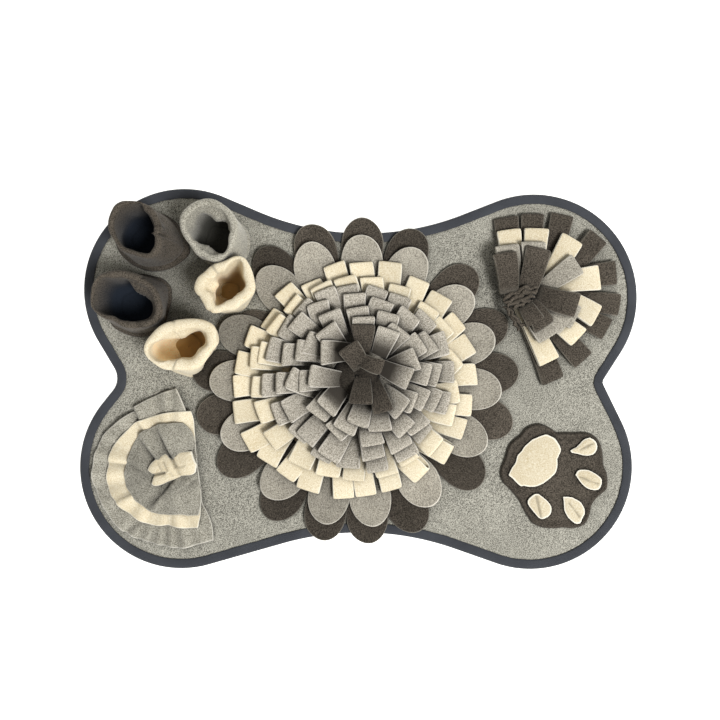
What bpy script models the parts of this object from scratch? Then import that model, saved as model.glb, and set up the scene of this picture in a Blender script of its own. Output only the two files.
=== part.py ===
"""Snuffle mat: a bone-shaped fleece mat on which a dog sniffs out treats.

The mat is one panel with a bound edge. Sewn on it are a flower (two rings of petals round a dome of
fleece loops), five soft cups, a half-round ruffled pocket with a bow, a fan of loops and a paw patch.
Sizes are in millimetres and become metres in make(). The origin is on the underside of the panel.
"""

import math
from collections import namedtuple

import bpy
import numpy as np

MM = 0.001
GAP = 0.3  # between pieces that are sewn together
PLY = 2.2  # thickness of one layer of fleece

# The outline is a belt drawn round eight circles, with straight runs between them.
# side is +1 where the belt runs round the outside of a circle, -1 where it is drawn in by one.
Circle = namedtuple("Circle", "x y radius side steps")
MAT_OUTLINE = (
    Circle(222, 105, 130, +1, 11),  # far right lobe
    Circle(8, 526, 340, -1, 4),  # far waist
    Circle(-219, 115, 127, +1, 11),  # far left lobe
    Circle(-328, 3, 24, -1, 3),  # left waist
    Circle(-223, -109, 128, +1, 11),  # near left lobe
    Circle(3, -550, 358, -1, 4),  # near waist
    Circle(217, -109, 129, +1, 11),  # near right lobe
    Circle(315, -2, 6, -1, 3),  # right waist
)
MAT_THICK = 3.6
BINDING_WIDTH = 12
TAPE = 1.0
ON_MAT = MAT_THICK + GAP

# Petals are cut alike, and each ring has its own reach. Angles are from +X, anticlockwise.
FLOWER = (-3, 0)
PETAL_ROOT = 109
FLAT_UNTIL = 150  # a petal lies flat to this radius, under the loops, and rises past it
PETAL_CUP = 1.5  # how much higher its edges end than its middle
PetalRing = namedtuple("PetalRing", "name colour height lift half_width tip angles")
PETAL_RINGS = (
    PetalRing("petal_dark", "charcoal", ON_MAT, 3.5, 26, 204,
              (87, 68, 43, 22, 3, -16, -39, -68, -85, -103, -122, -147, -166, 176, 153, 126, 107)),
    PetalRing("petal_light", "light_grey", ON_MAT + PLY + 0.4, 9, 26, 181,
              (87, 65, 38, 18, -4, -27, -58, -83, -103, -127, -156, 180, 158, 130, 110)),
)
SHORT_PETAL = ("petal_dark_15", 168)  # its end is tucked in beside a cup
PetalRow = namedtuple("PetalRow", "along width")
PETAL_ROWS = (
    PetalRow(0.0, 0.55),
    PetalRow(0.42, 0.84),
    PetalRow(0.72, 1.0),
    PetalRow(0.9, 0.78),
    PetalRow(1.0, 0.36),
)

# A comb is a strip folded lengthwise and slit from the fold: a row of loops on one heading.
# stem, knee and tip are radii: the heading rises from stem to knee, and each loop runs on to its tip.
CombRow = namedtuple("CombRow", "loops stem knee knee_height tip tip_height")
ROSETTE = {
    "rosette_cream": (
        "cream",
        CombRow(26, 102, 104, 12.0, 150, 14.5),
        CombRow(22, 86, 88, 14.5, 127, 24.0),
        CombRow(19, 74, 76, 18.0, 115, 32.0),
    ),
    "rosette_grey": (
        "light_grey",
        CombRow(19, 74, 76, 18.0, 115, 32.0),
        CombRow(16, 62, 64, 21.0, 103, 38.0),
        CombRow(16, 50, 52, 24.0, 86, 43.0),
        CombRow(11, 36, 38, 27.0, 67, 47.5),
        CombRow(6, 22, 24, 30.0, 48, 51.0),
    ),
    "rosette_dark": (
        "charcoal",
        CombRow(6, 22, 24, 30.0, 48, 51.0),
        CombRow(3, 7, 9, 35.0, 25, 54.0),
        CombRow(3, 7, 9, 35.0, 25, 54.0),
    ),
}
ROSETTE_CENTRE = (-5, 0)
ROSETTE_START = 200  # degrees, where each turn of the strip steps in to the next
STEP_FROM = 0.82  # the share of a turn after which the strip steps in
ROSETTE_LEAN = (15, 28)  # how far the crown leans over, at ROSETTE_HEIGHT
ROSETTE_HEIGHT = 57
LOOP_WIDTH = 28
LOOP_SHARE = 0.88  # of the room round the row, where that is less than LOOP_WIDTH
LOOP_GAP = 2.8  # between the two layers of a loop at its tip
HEADING_THICK = 2 * PLY

# The fan is a quarter-and-more turn of four combs that share a gathered heading.
FAN_CENTRE = (197, 97)
FanRow = namedtuple("FanRow", "name colour loops first last stem knee knee_height tip bulge tip_height")
FAN = (
    FanRow("fan_dark_outer", "charcoal", 9, -72, 104, 23, 25, 8.0, 114, 19, 9.5),
    FanRow("fan_cream", "cream", 7, -68, 104, 17, 19, 15.0, 92, 18, 18.0),
    FanRow("fan_grey", "light_grey", 6, -60, 108, 11, 13, 22.0, 74, 16, 26.0),
    FanRow("fan_dark_inner", "charcoal", 5, -62, 112, 5.5, 7.5, 28.0, 60, 12, 34.0),
)

Cup = namedtuple("Cup", "name colour base base_radius rim rim_x rim_y turn square height")
CUPS = (
    Cup("cup_dark_back", "charcoal", (-259, 178), 40, (-264, 178), 29, 34, 12, 2.3, 70),
    Cup("cup_grey", "mid_grey", (-176, 180), 31, (-175, 179), 33, 33, 0, 2.2, 68),
    Cup("cup_dark_front", "charcoal", (-279, 93), 37, (-275, 95), 40, 34, -8, 2.5, 64),
    Cup("cup_cream_back", "cream", (-162, 120), 25, (-155, 112), 32, 31, 20, 3.2, 66),
    Cup("cup_cream_front", "cream", (-225, 54), 27, (-206, 41), 44, 32, 8, 2.2, 68),
)
CUP_SIDES = 12
CUP_WALL = 7.6  # a doubled wall, folded at the rim
CupRing = namedtuple("CupRing", "level depth")  # up the wall, and in from its outer face
CUP_RINGS = (
    CupRing(0.0, 0.0),
    CupRing(0.5, 0.0),
    CupRing(0.9, 0.0),
    CupRing(1.0, 0.5),
    CupRing(0.9, 1.0),
    CupRing(0.5, 1.0),
    CupRing(0.0, 1.0),
    CupRing(0.0, 1 - PLY / CUP_WALL),
    CupRing(0.5, 1 - PLY / CUP_WALL),
    CupRing(0.87, 0.5),
    CupRing(0.5, PLY / CUP_WALL),
    CupRing(0.0, PLY / CUP_WALL),
)

# The pocket is three half-round layers, drawn in at the bow. Each is cut off along a straight edge.
POCKET_CENTRE = (-235, -112)
PocketLayer = namedtuple("PocketLayer", "name colour radius edge edge_turn level")
POCKET_LAYERS = (
    PocketLayer("pocket_grey_back", "mid_grey", 101, 31, 13, 0),
    PocketLayer("pocket_cream", "cream", 77, 29, 4, 1),
    PocketLayer("pocket_grey_front", "mid_grey", 58, 33, 6, 2),
)
POCKET_STEP = 3.4
POCKET_SPOKES = 20  # evenly round, and every layer's two corners are added to them
CORNER_ROOM = 6  # degrees that an even spoke keeps from a corner
POCKET_RINGS = (0.14, 0.5, 1.0)
RUFFLES = 7
RUFFLE_HEIGHT = 7
BowSection = namedtuple("BowSection", "along half_width low high")
BOW_TURN = 14
BOW_SECTIONS = (
    BowSection(-28, 12, 3.0, 9.0),
    BowSection(-20, 19, 1.5, 12.0),
    BowSection(-8, 15, 0.5, 14.0),
    BowSection(2, 9, 0.0, 12.0),
    BowSection(12, 14, 0.5, 14.0),
    BowSection(24, 18, 1.5, 11.0),
    BowSection(29, 15, 3.0, 8.0),
)

PAW_COVER = (
    Circle(290, -87, 22, +1, 4),  # over the upper toe
    Circle(261, -21, 40, -1, 3),  # the dip beside it
    Circle(227, -88, 34, +1, 5),  # far side of the pad
    Circle(214, -119, 34, +1, 4),  # left side of the pad
    Circle(237, -160, 27, +1, 4),  # near left toe
    Circle(266, -161, 26, +1, 4),  # near right toe
    Circle(310, -165, 16, -1, 2),  # the dip between the right toes
    Circle(290, -126, 26, +1, 4),  # right toe
)
PAW_PIECES = {
    "paw_pad": (Circle(239, -87, 17.5, +1, 5), Circle(208, -117, 15, +1, 5), Circle(225, -111, 24.5, +1, 6)),
    "paw_toe_1": (Circle(291, -85, 10.5, +1, 7), Circle(272, -89, 3, +1, 3)),
    "paw_toe_2": (Circle(286, -122, 9, +1, 5), Circle(299, -129, 9, +1, 5)),
    "paw_toe_3": (Circle(226, -155, 10, +1, 5), Circle(235, -165, 10, +1, 5)),
    "paw_toe_4": (Circle(270, -158, 9.5, +1, 5), Circle(278, -171, 9.5, +1, 5)),
}
COVER_THICK = 3.0

Finish = namedtuple("Finish", "red green blue roughness")
FINISHES = {
    "mid_grey": Finish(0.40, 0.40, 0.35, 0.95),
    "light_grey": Finish(0.46, 0.44, 0.38, 0.95),
    "charcoal": Finish(0.075, 0.068, 0.055, 0.95),
    "cream": Finish(0.80, 0.70, 0.50, 0.95),
    "binding": Finish(0.060, 0.065, 0.075, 0.8),
}


def clear_scene():
    for obj in list(bpy.data.objects):
        bpy.data.objects.remove(obj, do_unlink=True)


def new_material(name, finish):
    material = bpy.data.materials.new(name)
    material.use_nodes = True
    shader = material.node_tree.nodes["Principled BSDF"]
    shader.inputs["Base Color"].default_value = (finish.red, finish.green, finish.blue, 1.0)
    shader.inputs["Roughness"].default_value = finish.roughness
    shader.inputs["Metallic"].default_value = 0.0
    return material


def make(name, points, faces, colour):
    """A node from points in millimetres and from faces, shaded smooth where it is round."""
    mesh = bpy.data.meshes.new(name)
    mesh.from_pydata((np.asarray(points) * MM).tolist(), [], faces)
    mesh.shade_smooth()
    mesh.set_sharp_from_angle(angle=math.radians(35))
    mesh.materials.append(MATERIALS[colour])
    obj = bpy.data.objects.new(name, mesh)
    COLLECTION.objects.link(obj)
    return obj


def make_sheet(name, points, faces, colour):
    """One layer of fleece: the upper face as an open surface, with Solidify for its thickness."""
    layer = make(name, points, faces, colour).modifiers.new("one ply", "SOLIDIFY")
    layer.thickness = PLY * MM
    layer.offset = -1


def along(heading):
    """The unit vector at this many degrees from +X."""
    angle = math.radians(heading)
    return np.array((math.cos(angle), math.sin(angle)))


def belt_normals(circles):
    """For each circle, the outward directions of the straight runs before and after it, in radians.

    A run that leaves one circle and meets the next has one normal, whose cosine against the line
    between the centres is the difference of the signed radii over the distance.
    """
    after = []
    for here, there in zip(circles, circles[1:] + circles[:1]):
        across, up = there.x - here.x, there.y - here.y
        distance = math.hypot(across, up)
        drop = (here.radius * here.side - there.radius * there.side) / distance
        after.append(math.atan2(up, across) - math.acos(drop))
    return [(after[i - 1], after[i]) for i in range(len(circles))]


def belt(circles, inset=0.0):
    """Points round a belt of circles, moved in by inset. The arcs are evenly stepped."""
    points = []
    for circle, (start, end) in zip(circles, belt_normals(circles)):
        turn = (end - start) % (2 * math.pi)
        if circle.side < 0:
            turn -= 2 * math.pi
        angle = start + turn * np.linspace(0, 1, circle.steps + 1)
        reach = circle.radius * circle.side - inset
        points.append(np.column_stack((circle.x + reach * np.cos(angle), circle.y + reach * np.sin(angle))))
    return np.concatenate(points)


def at_height(outline, height):
    return np.column_stack((outline, np.full(len(outline), float(height))))


def bands(sides, rings, closed):
    """Quads between rings of points. A closed run of rings joins its last to its first."""
    faces = []
    for ring in range(rings if closed else rings - 1):
        above = (ring + 1) % rings
        for side in range(sides):
            after = (side + 1) % sides
            low, high = ring * sides, above * sides
            faces.append((low + side, low + after, high + after, high + side))
    return faces


def capped(sides, rings):
    """The quads of a stack of rings, and a cap on each end."""
    top = (rings - 1) * sides
    caps = [tuple(reversed(range(sides))), tuple(range(top, top + sides))]
    return bands(sides, rings, closed=False) + caps


def base_panel():
    """The panel, thinned at its edge to a tongue that the binding holds."""
    inner, outer = BINDING_WIDTH + GAP, TAPE + GAP
    low, high = TAPE + GAP, MAT_THICK - TAPE - GAP
    steps = ((inner, 0), (inner, low), (outer, low), (outer, high), (inner, high), (inner, MAT_THICK))
    rings = [at_height(belt(MAT_OUTLINE, inset), height) for inset, height in steps]
    make("base_panel", np.concatenate(rings), capped(len(rings[0]), len(rings)), "mid_grey")


def edge_binding():
    """Tape folded round the edge: the section is a C, open towards the mat."""
    top = MAT_THICK
    section = ((0, 0), (0, top), (BINDING_WIDTH, top), (BINDING_WIDTH, top - TAPE),
               (TAPE, top - TAPE), (TAPE, TAPE), (BINDING_WIDTH, TAPE), (BINDING_WIDTH, 0))
    rings = [at_height(belt(MAT_OUTLINE, inset), height) for inset, height in section]
    make("edge_binding", np.concatenate(rings), bands(len(rings[0]), len(rings), closed=True), "binding")


def petal(name, ring, angle, tip):
    """A petal: rows across it from root to tip, each of an edge, a middle and an edge."""
    out, across = along(angle), along(angle + 90)
    points = []
    for row in PETAL_ROWS:
        radius = PETAL_ROOT + (tip - PETAL_ROOT) * row.along
        rise = max(0.0, (radius - FLAT_UNTIL) / (ring.tip - FLAT_UNTIL)) ** 1.5
        for side in (-1, 0, 1):
            place = FLOWER + radius * out + side * row.width * ring.half_width * across
            cupped = rise * (ring.lift + PETAL_CUP * side * side)
            points.append((*place, ring.height + PLY + cupped))
    corners = [row * 3 + column for row in range(len(PETAL_ROWS) - 1) for column in (0, 1)]
    faces = [(corner, corner + 3, corner + 4, corner + 1) for corner in corners]
    make_sheet(name, points, faces, ring.colour)


def petals():
    for ring in PETAL_RINGS:
        for number, angle in enumerate(ring.angles, 1):
            name = f"{ring.name}_{number:02}"
            petal(name, ring, angle, SHORT_PETAL[1] if name == SHORT_PETAL[0] else ring.tip)


def between(rows, turn):
    """The row of a comb at this many turns from its start. Each turn holds one row, then steps in."""
    whole = min(int(turn), len(rows) - 2)
    share = max(0.0, (turn - whole - STEP_FROM) / (1 - STEP_FROM))
    share = min(1.0, share)
    share = share * share * (3 - 2 * share)
    return CombRow(*(a + (b - a) * share for a, b in zip(rows[whole], rows[whole + 1])))


def comb(name, centre, angles, row_at, colour, lean=(0, 0)):
    """A comb of loops on one heading.

    angles are the turning angles, in degrees, of the stations between loops, and row_at gives the
    comb's sizes at an angle. Each station is the heading's section, five points: inside foot, outside
    foot, lower knee, crotch, upper knee. Each loop ends in two sections of four points: lower and
    upper fold, lower and upper inner fold. A slit runs from the fold to the crotch between two loops.
    """
    def placed(angle, radius, height, sideways=0.0):
        point = centre + radius * along(angle) + sideways * along(angle + 90)
        return (*(point + np.array(lean) * (height / ROSETTE_HEIGHT) ** 3), height)

    points = []
    for angle in angles:
        row = row_at(angle)
        slope = math.atan2(row.tip_height - row.knee_height, row.tip - row.knee)
        rise, run = PLY * math.cos(slope), PLY * math.sin(slope)
        points += (
            placed(angle, row.stem - HEADING_THICK, ON_MAT),
            placed(angle, row.stem, ON_MAT),
            placed(angle, row.knee + run, row.knee_height - rise),
            placed(angle, row.knee, row.knee_height),
            placed(angle, row.knee - run, row.knee_height + rise),
        )
    first_tip = len(points)
    for start, end in zip(angles, angles[1:]):
        middle = (start + end) / 2
        row = row_at(middle)
        slope = math.atan2(row.tip_height - row.knee_height, row.tip - row.knee)
        room = math.radians(abs(end - start)) * row.tip
        half = min(LOOP_WIDTH, LOOP_SHARE * room) / 2
        outer = PLY + LOOP_GAP / 2
        for side in (-1, 1):
            for back, lift in ((0, -outer), (0, outer), (PLY, -LOOP_GAP / 2), (PLY, LOOP_GAP / 2)):
                radius = row.tip - back * math.cos(slope) - lift * math.sin(slope)
                height = row.tip_height - back * math.sin(slope) + lift * math.cos(slope)
                points.append(placed(middle, radius, height, side * half))

    faces = [(0, 1, 2, 3, 4)]
    for loop in range(len(angles) - 1):
        foot, toe, low, crotch, high = range(loop * 5, loop * 5 + 5)
        foot2, toe2, low2, crotch2, high2 = range(loop * 5 + 5, loop * 5 + 10)
        tip = first_tip + loop * 8
        a, b, c, d, e, f, g, h = range(tip, tip + 8)
        faces += (
            (foot, foot2, toe2, toe), (toe, toe2, low2, low), (foot, high, high2, foot2),
            (low, low2, e, a), (high, b, f, high2), (a, e, f, b),
            (crotch, c, g, crotch2), (crotch, crotch2, h, d), (c, d, h, g),
            (low, a, c, crotch), (a, b, d, c), (crotch, d, b, high),
            (crotch2, g, e, low2), (g, h, f, e), (high2, f, h, crotch2),
        )
    end = (len(angles) - 1) * 5
    faces.append((end + 4, end + 3, end + 2, end + 1, end))
    make(name, points, faces, colour)


def rosette():
    """Three strips wound inwards, one after the other, into a dome of loops."""
    for name, (colour, *rows) in ROSETTE.items():
        angles = []
        for turn, row in enumerate(rows[:-1]):
            shares = np.linspace(0, 1, row.loops + 1)[:-1]
            angles += list(ROSETTE_START + 360 * (turn + shares))
        angles.append(ROSETTE_START + 360 * (len(rows) - 1) - 2)
        comb(name, np.array(ROSETTE_CENTRE), angles,
             lambda angle, rows=rows: between(rows, (angle - ROSETTE_START) / 360), colour, ROSETTE_LEAN)


def fan():
    """Four combs over each other on a shared centre. The middle loops of each reach furthest."""
    for row in FAN:
        def row_at(angle, row=row):
            share = (angle - row.first) / (row.last - row.first)
            tip = row.tip + row.bulge * math.sin(math.pi * share)
            return CombRow(row.loops, row.stem, row.knee, row.knee_height, tip, row.tip_height)
        angles = list(np.linspace(row.first, row.last, row.loops + 1))
        comb(row.name, np.array(FAN_CENTRE), angles, row_at, row.colour)


def cup_outline(radius_x, radius_y, turn, square):
    """A rounded outline: the sine and cosine are raised to 2 / square, so 2 is an ellipse."""
    angle = np.arange(CUP_SIDES) * 2 * math.pi / CUP_SIDES
    across = radius_x * np.sign(np.cos(angle)) * np.abs(np.cos(angle)) ** (2 / square)
    up = radius_y * np.sign(np.sin(angle)) * np.abs(np.sin(angle)) ** (2 / square)
    side = along(turn)
    return np.column_stack((across * side[0] - up * side[1], across * side[1] + up * side[0]))


def cup(size):
    """A tube with a doubled wall, its section a tall narrow arch open at the foot."""
    rings = []
    for ring in CUP_RINGS:
        depth = ring.depth * CUP_WALL
        foot = cup_outline(size.base_radius - depth, size.base_radius - depth, size.turn, 2)
        rim = cup_outline(size.rim_x - depth, size.rim_y - depth, size.turn, size.square)
        share = ring.level ** 0.8
        centre = np.array(size.base) * (1 - ring.level) + np.array(size.rim) * ring.level
        outline = centre + foot * (1 - share) + rim * share
        rings.append(at_height(outline, ON_MAT + ring.level * size.height))
    make(size.name, np.concatenate(rings), bands(CUP_SIDES, len(rings), closed=True), size.colour)


def ruffle(place):
    """How far the pocket's layers rise at a place, all alike so that they nest."""
    radius = np.hypot(place[:, 0], place[:, 1])
    angle = np.arctan2(place[:, 1], place[:, 0])
    wave = 0.5 - 0.5 * np.cos(RUFFLES * angle)
    return RUFFLE_HEIGHT * wave * (radius / POCKET_LAYERS[0].radius) ** 2


def corners(layer):
    """The angles at which a layer's round edge meets its straight one."""
    spread = math.degrees(math.acos(layer.edge / layer.radius))
    return [layer.edge_turn - spread, layer.edge_turn + spread]


def pocket_spokes():
    """The spokes that all the layers share, so that they nest: the corners, and even ones between."""
    ends = [angle % 360 for layer in POCKET_LAYERS for angle in corners(layer)]
    even = [360 * step / POCKET_SPOKES for step in range(POCKET_SPOKES)]
    kept = [angle for angle in even if min(abs(angle - end) for end in ends) > CORNER_ROOM]
    return np.radians(sorted(ends + kept))


def pocket_layer(layer):
    """A half-round sheet with a small hole at the gather, and a wave that grows towards its edge."""
    spokes = pocket_spokes()
    from_edge = np.cos(spokes - math.radians(layer.edge_turn))
    reach = np.minimum(layer.radius, layer.edge / np.maximum(from_edge, layer.edge / layer.radius))
    rings = []
    top = ON_MAT + layer.level * POCKET_STEP + PLY
    for share in POCKET_RINGS:
        place = np.column_stack((np.cos(spokes), np.sin(spokes))) * (reach * share)[:, None]
        rings.append(np.column_stack((place + POCKET_CENTRE, top + ruffle(place))))
    faces = [face[::-1] for face in bands(len(spokes), len(rings), closed=False)]
    make_sheet(layer.name, np.concatenate(rings), faces, layer.colour)


def pocket_bow():
    """A strip pinched at its middle: flat eight-sided sections along it, wide at both ends."""
    side, up = along(BOW_TURN), along(BOW_TURN + 90)
    foot = ON_MAT + len(POCKET_LAYERS) * POCKET_STEP
    corner = ((-1, 0.35), (-0.6, 0), (0.6, 0), (1, 0.35), (1, 0.7), (0.6, 1), (-0.6, 1), (-1, 0.7))
    rings = []
    for section in BOW_SECTIONS:
        for across, share in corner:
            place = POCKET_CENTRE + section.along * side + across * section.half_width * up
            rings.append((*place, foot + section.low + share * (section.high - section.low)))
    make("pocket_bow", rings, capped(len(corner), len(BOW_SECTIONS)), "cream")


def flat_piece(name, circles, low, thick, colour):
    """A flat cut piece: its outline as a filled curve, extruded by half its thickness each way."""
    curve = bpy.data.curves.new(name, "CURVE")
    curve.dimensions = "2D"
    curve.fill_mode = "BOTH"
    curve.extrude = thick / 2 * MM
    outline = belt(circles) * MM
    spline = curve.splines.new("POLY")
    spline.points.add(len(outline) - 1)
    flat = np.column_stack((at_height(outline, 0), np.ones(len(outline))))
    spline.points.foreach_set("co", flat.ravel())
    spline.use_cyclic_u = True
    curve.materials.append(MATERIALS[colour])
    obj = bpy.data.objects.new(name, curve)
    obj.location.z = (low + thick / 2) * MM
    COLLECTION.objects.link(obj)


def paw():
    flat_piece("paw_cover", PAW_COVER, ON_MAT, COVER_THICK, "charcoal")
    for name, circles in PAW_PIECES.items():
        flat_piece(name, circles, ON_MAT + COVER_THICK + GAP, PLY, "cream")


clear_scene()
COLLECTION = bpy.data.collections.new("snuffle_mat")
bpy.context.scene.collection.children.link(COLLECTION)
MATERIALS = {name: new_material(name, finish) for name, finish in FINISHES.items()}
base_panel()
edge_binding()
petals()
rosette()
fan()
for one_cup in CUPS:
    cup(one_cup)
for one_layer in POCKET_LAYERS:
    pocket_layer(one_layer)
pocket_bow()
paw()
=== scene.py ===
# %% [markdown]
# # A snuffle mat in fleece
# A snuffle mat is a cloth mat on which a dog sniffs out dry treats. They are pushed between loops,
# petals and folds of fleece. This notebook gives each sewn piece the shape of its cloth, and each
# cloth its finish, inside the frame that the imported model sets. Lengths are in millimetres, and
# turn into metres when a mesh is made.

# %% Load the frame
import math
from collections import namedtuple

import bpy
import numpy as np
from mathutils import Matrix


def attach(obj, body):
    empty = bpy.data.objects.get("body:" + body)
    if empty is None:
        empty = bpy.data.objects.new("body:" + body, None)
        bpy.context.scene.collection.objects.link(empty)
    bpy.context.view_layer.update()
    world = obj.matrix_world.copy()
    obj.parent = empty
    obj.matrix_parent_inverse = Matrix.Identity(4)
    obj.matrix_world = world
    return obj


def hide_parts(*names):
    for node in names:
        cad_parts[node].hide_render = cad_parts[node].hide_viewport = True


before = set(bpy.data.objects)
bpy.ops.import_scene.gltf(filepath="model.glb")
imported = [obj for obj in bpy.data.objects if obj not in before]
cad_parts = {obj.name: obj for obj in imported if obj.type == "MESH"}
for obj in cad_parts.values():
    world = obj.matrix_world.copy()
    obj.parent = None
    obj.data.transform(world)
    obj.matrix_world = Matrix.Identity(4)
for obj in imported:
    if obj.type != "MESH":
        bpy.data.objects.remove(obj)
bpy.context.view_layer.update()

MM = 0.001

# %% [markdown]
# ## Camera, floor and light
# The mat is seen from straight above, so its height shows only as a slight spreading of what stands
# up. A small lamp would make hard shadows, which flatten the pile, and an even surround would make
# none. So a large lamp at the near right is mixed with a grey surround, over a plain white floor.

# %% Camera
CAMERA_PLACE = (2.5, 26.0, 900.0)
VIEW_WIDTH = 911.5  # of the mat's plane that fits in the frame
SENSOR = 36.0
CAMERA_NEAR = 10.0

scene = bpy.context.scene
scene.view_settings.view_transform = "Standard"
camera_data = bpy.data.cameras.new("camera")
camera_data.sensor_width = SENSOR
camera_data.lens = SENSOR * CAMERA_PLACE[2] / VIEW_WIDTH
camera_data.clip_start = CAMERA_NEAR * MM
camera = bpy.data.objects.new("camera", camera_data)
camera.location = np.array(CAMERA_PLACE) * MM
scene.collection.objects.link(camera)
scene.camera = camera
print("lens, mm:", round(camera_data.lens, 2))


# %% A node helper and colours
def linear(code):
    """An sRGB hex colour as linear light: each channel to the power 2.4, with a straight toe."""
    share = np.array([int(code[i:i + 2], 16) for i in (0, 2, 4)]) / 255
    light = np.where(share <= 0.04045, share / 12.92, ((share + 0.055) / 1.055) ** 2.4)
    return (*light, 1.0)


def add(tree, kind, inputs=None, **settings):
    """Adds a node with its settings. An input is a value, or another node's output to link."""
    made = tree.nodes.new(kind)
    for name, value in settings.items():
        setattr(made, name, value)
    for socket, value in (inputs or {}).items():
        if isinstance(value, bpy.types.NodeSocket):
            tree.links.new(value, made.inputs[socket])
        else:
            made.inputs[socket].default_value = value
    return made


def new_material(name):
    """An empty node material, its tree and its output."""
    material = bpy.data.materials.new(name)
    material.use_nodes = True
    tree = material.node_tree
    tree.nodes.clear()
    return material, tree, tree.nodes.new("ShaderNodeOutputMaterial")


print("half grey in linear light:", round(float(linear("808080")[0]), 3))

# %% Floor and light
FLOOR_SIZE = 40000
FLOOR_HEIGHT = -0.4
FLOOR_GLOW = 1.0
LAMP_PLACE = (1750, -1300, 3400)
LAMP_SIZE = 1250
LAMP_POWER = 152.0
SURROUND = 0.38

floor_mesh = bpy.data.meshes.new("floor")
corners = np.array([(-1, -1), (1, -1), (1, 1), (-1, 1)]) * FLOOR_SIZE / 2
corners = np.column_stack((corners, np.full(4, FLOOR_HEIGHT))) * MM
floor_mesh.from_pydata(corners.tolist(), [], [(0, 1, 2, 3)])
floor = bpy.data.objects.new("floor", floor_mesh)
scene.collection.objects.link(floor)

paper, tree, out = new_material("white_paper_floor")
shader = add(tree, "ShaderNodeBsdfPrincipled", {
    "Base Color": linear("f4f4f0"), "Roughness": 0.9, "Specular IOR Level": 0.1,
    "Emission Color": linear("fdfdfa"), "Emission Strength": FLOOR_GLOW})
tree.links.new(shader.outputs["BSDF"], out.inputs["Surface"])
floor_mesh.materials.append(paper)

lamp_data = bpy.data.lights.new("lamp", "AREA")
lamp_data.size = LAMP_SIZE * MM
lamp_data.energy = LAMP_POWER
lamp = bpy.data.objects.new("lamp", lamp_data)
lamp.location = np.array(LAMP_PLACE) * MM
lamp.rotation_euler = (-lamp.location).to_track_quat("-Z", "Y").to_euler()
scene.collection.objects.link(lamp)

world = bpy.data.worlds.new("surround")
world.use_nodes = True
world.node_tree.nodes["Background"].inputs["Color"].default_value = linear("fbfaf6")
world.node_tree.nodes["Background"].inputs["Strength"].default_value = SURROUND
scene.world = world
print("lamp, m:", [round(v, 2) for v in lamp.location], "and a surround of", SURROUND)

# %% [markdown]
# ## Cloth as a thin closed shell
# Most pieces are one layer of fleece 2.2 mm thick. A Solidify modifier could thicken a surface, but
# it can't say which points lie on a raw edge. So the upper face is worked out on a grid, and the
# lower face is that surface moved back along its normals. A loop of points between them rounds the
# raw edge, which is painted paler, as a painted highlight. A vector attribute keeps how far
# along and across the cloth a point is, in millimetres, and how near it is to a raw edge, so that
# the finish can follow the cloth.

# %% Steps along a grid
PLY = 2.2
ROUNDING = 0.3  # how far a raw edge stands out, as a share of the thickness


def change(grid, axis, wraps):
    """The step along an axis of a grid: half the difference of both neighbours."""
    if wraps:
        return (np.roll(grid, -1, axis) - np.roll(grid, 1, axis)) / 2
    return np.gradient(grid, axis=axis)


def unit(vectors):
    """Vectors divided by their lengths."""
    return vectors / np.maximum(np.linalg.norm(vectors, axis=-1, keepdims=True), 1e-9)


def walked(grid, axis):
    """The distance walked along an axis: the running sum of the lengths of the steps."""
    steps = np.linalg.norm(np.diff(grid, axis=axis), axis=-1)
    start = np.zeros_like(np.take(steps, [0], axis=axis))
    return np.concatenate((start, np.cumsum(steps, axis=axis)), axis=axis)


print("steps along 0, 1, 4:", change(np.array((0.0, 1.0, 4.0)), 0, False))


# %% Faces on a grid
def quads(index, wrap_rows, wrap_columns):
    """Four corners for each cell of an index grid, turned so that a row step leads a column step."""
    if wrap_rows:
        index = np.vstack((index, index[:1]))
    if wrap_columns:
        index = np.hstack((index, index[:, :1]))
    return np.stack((index[:-1, :-1], index[1:, :-1], index[1:, 1:], index[:-1, 1:]), -1).reshape(-1, 4)


def borders(index, wrap_rows, wrap_columns):
    """Each open border of an index grid as a closed loop, with the cloth on its left."""
    if wrap_rows and wrap_columns:
        return []
    if wrap_columns:
        return [index[-1], index[0, ::-1]]
    if wrap_rows:
        return [index[:, 0], index[::-1, -1]]
    return [np.concatenate((index[:-1, 0], index[-1, :-1], index[:0:-1, -1], index[0, :0:-1]))]


def area(grid, wrap_rows=False, wrap_columns=False):
    """The area of grids of points: the cross product of the two diagonals of each cell, halved."""
    flat = grid.reshape(-1, *grid.shape[-3:])
    cells = flat.reshape(len(flat), -1, 3)[:, quads(
        np.arange(flat.shape[1] * flat.shape[2]).reshape(flat.shape[1:3]), wrap_rows, wrap_columns)]
    return np.linalg.norm(np.cross(cells[:, :, 2] - cells[:, :, 0], cells[:, :, 3] - cells[:, :, 1]),
                          axis=-1).sum() / 2


print("faces of a tube of 3 rows and 8 columns:", len(quads(np.arange(24).reshape(3, 8), False, True)))

# %% The shell of a sheet
Cloth = namedtuple("Cloth", "points faces weave tone area")


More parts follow.
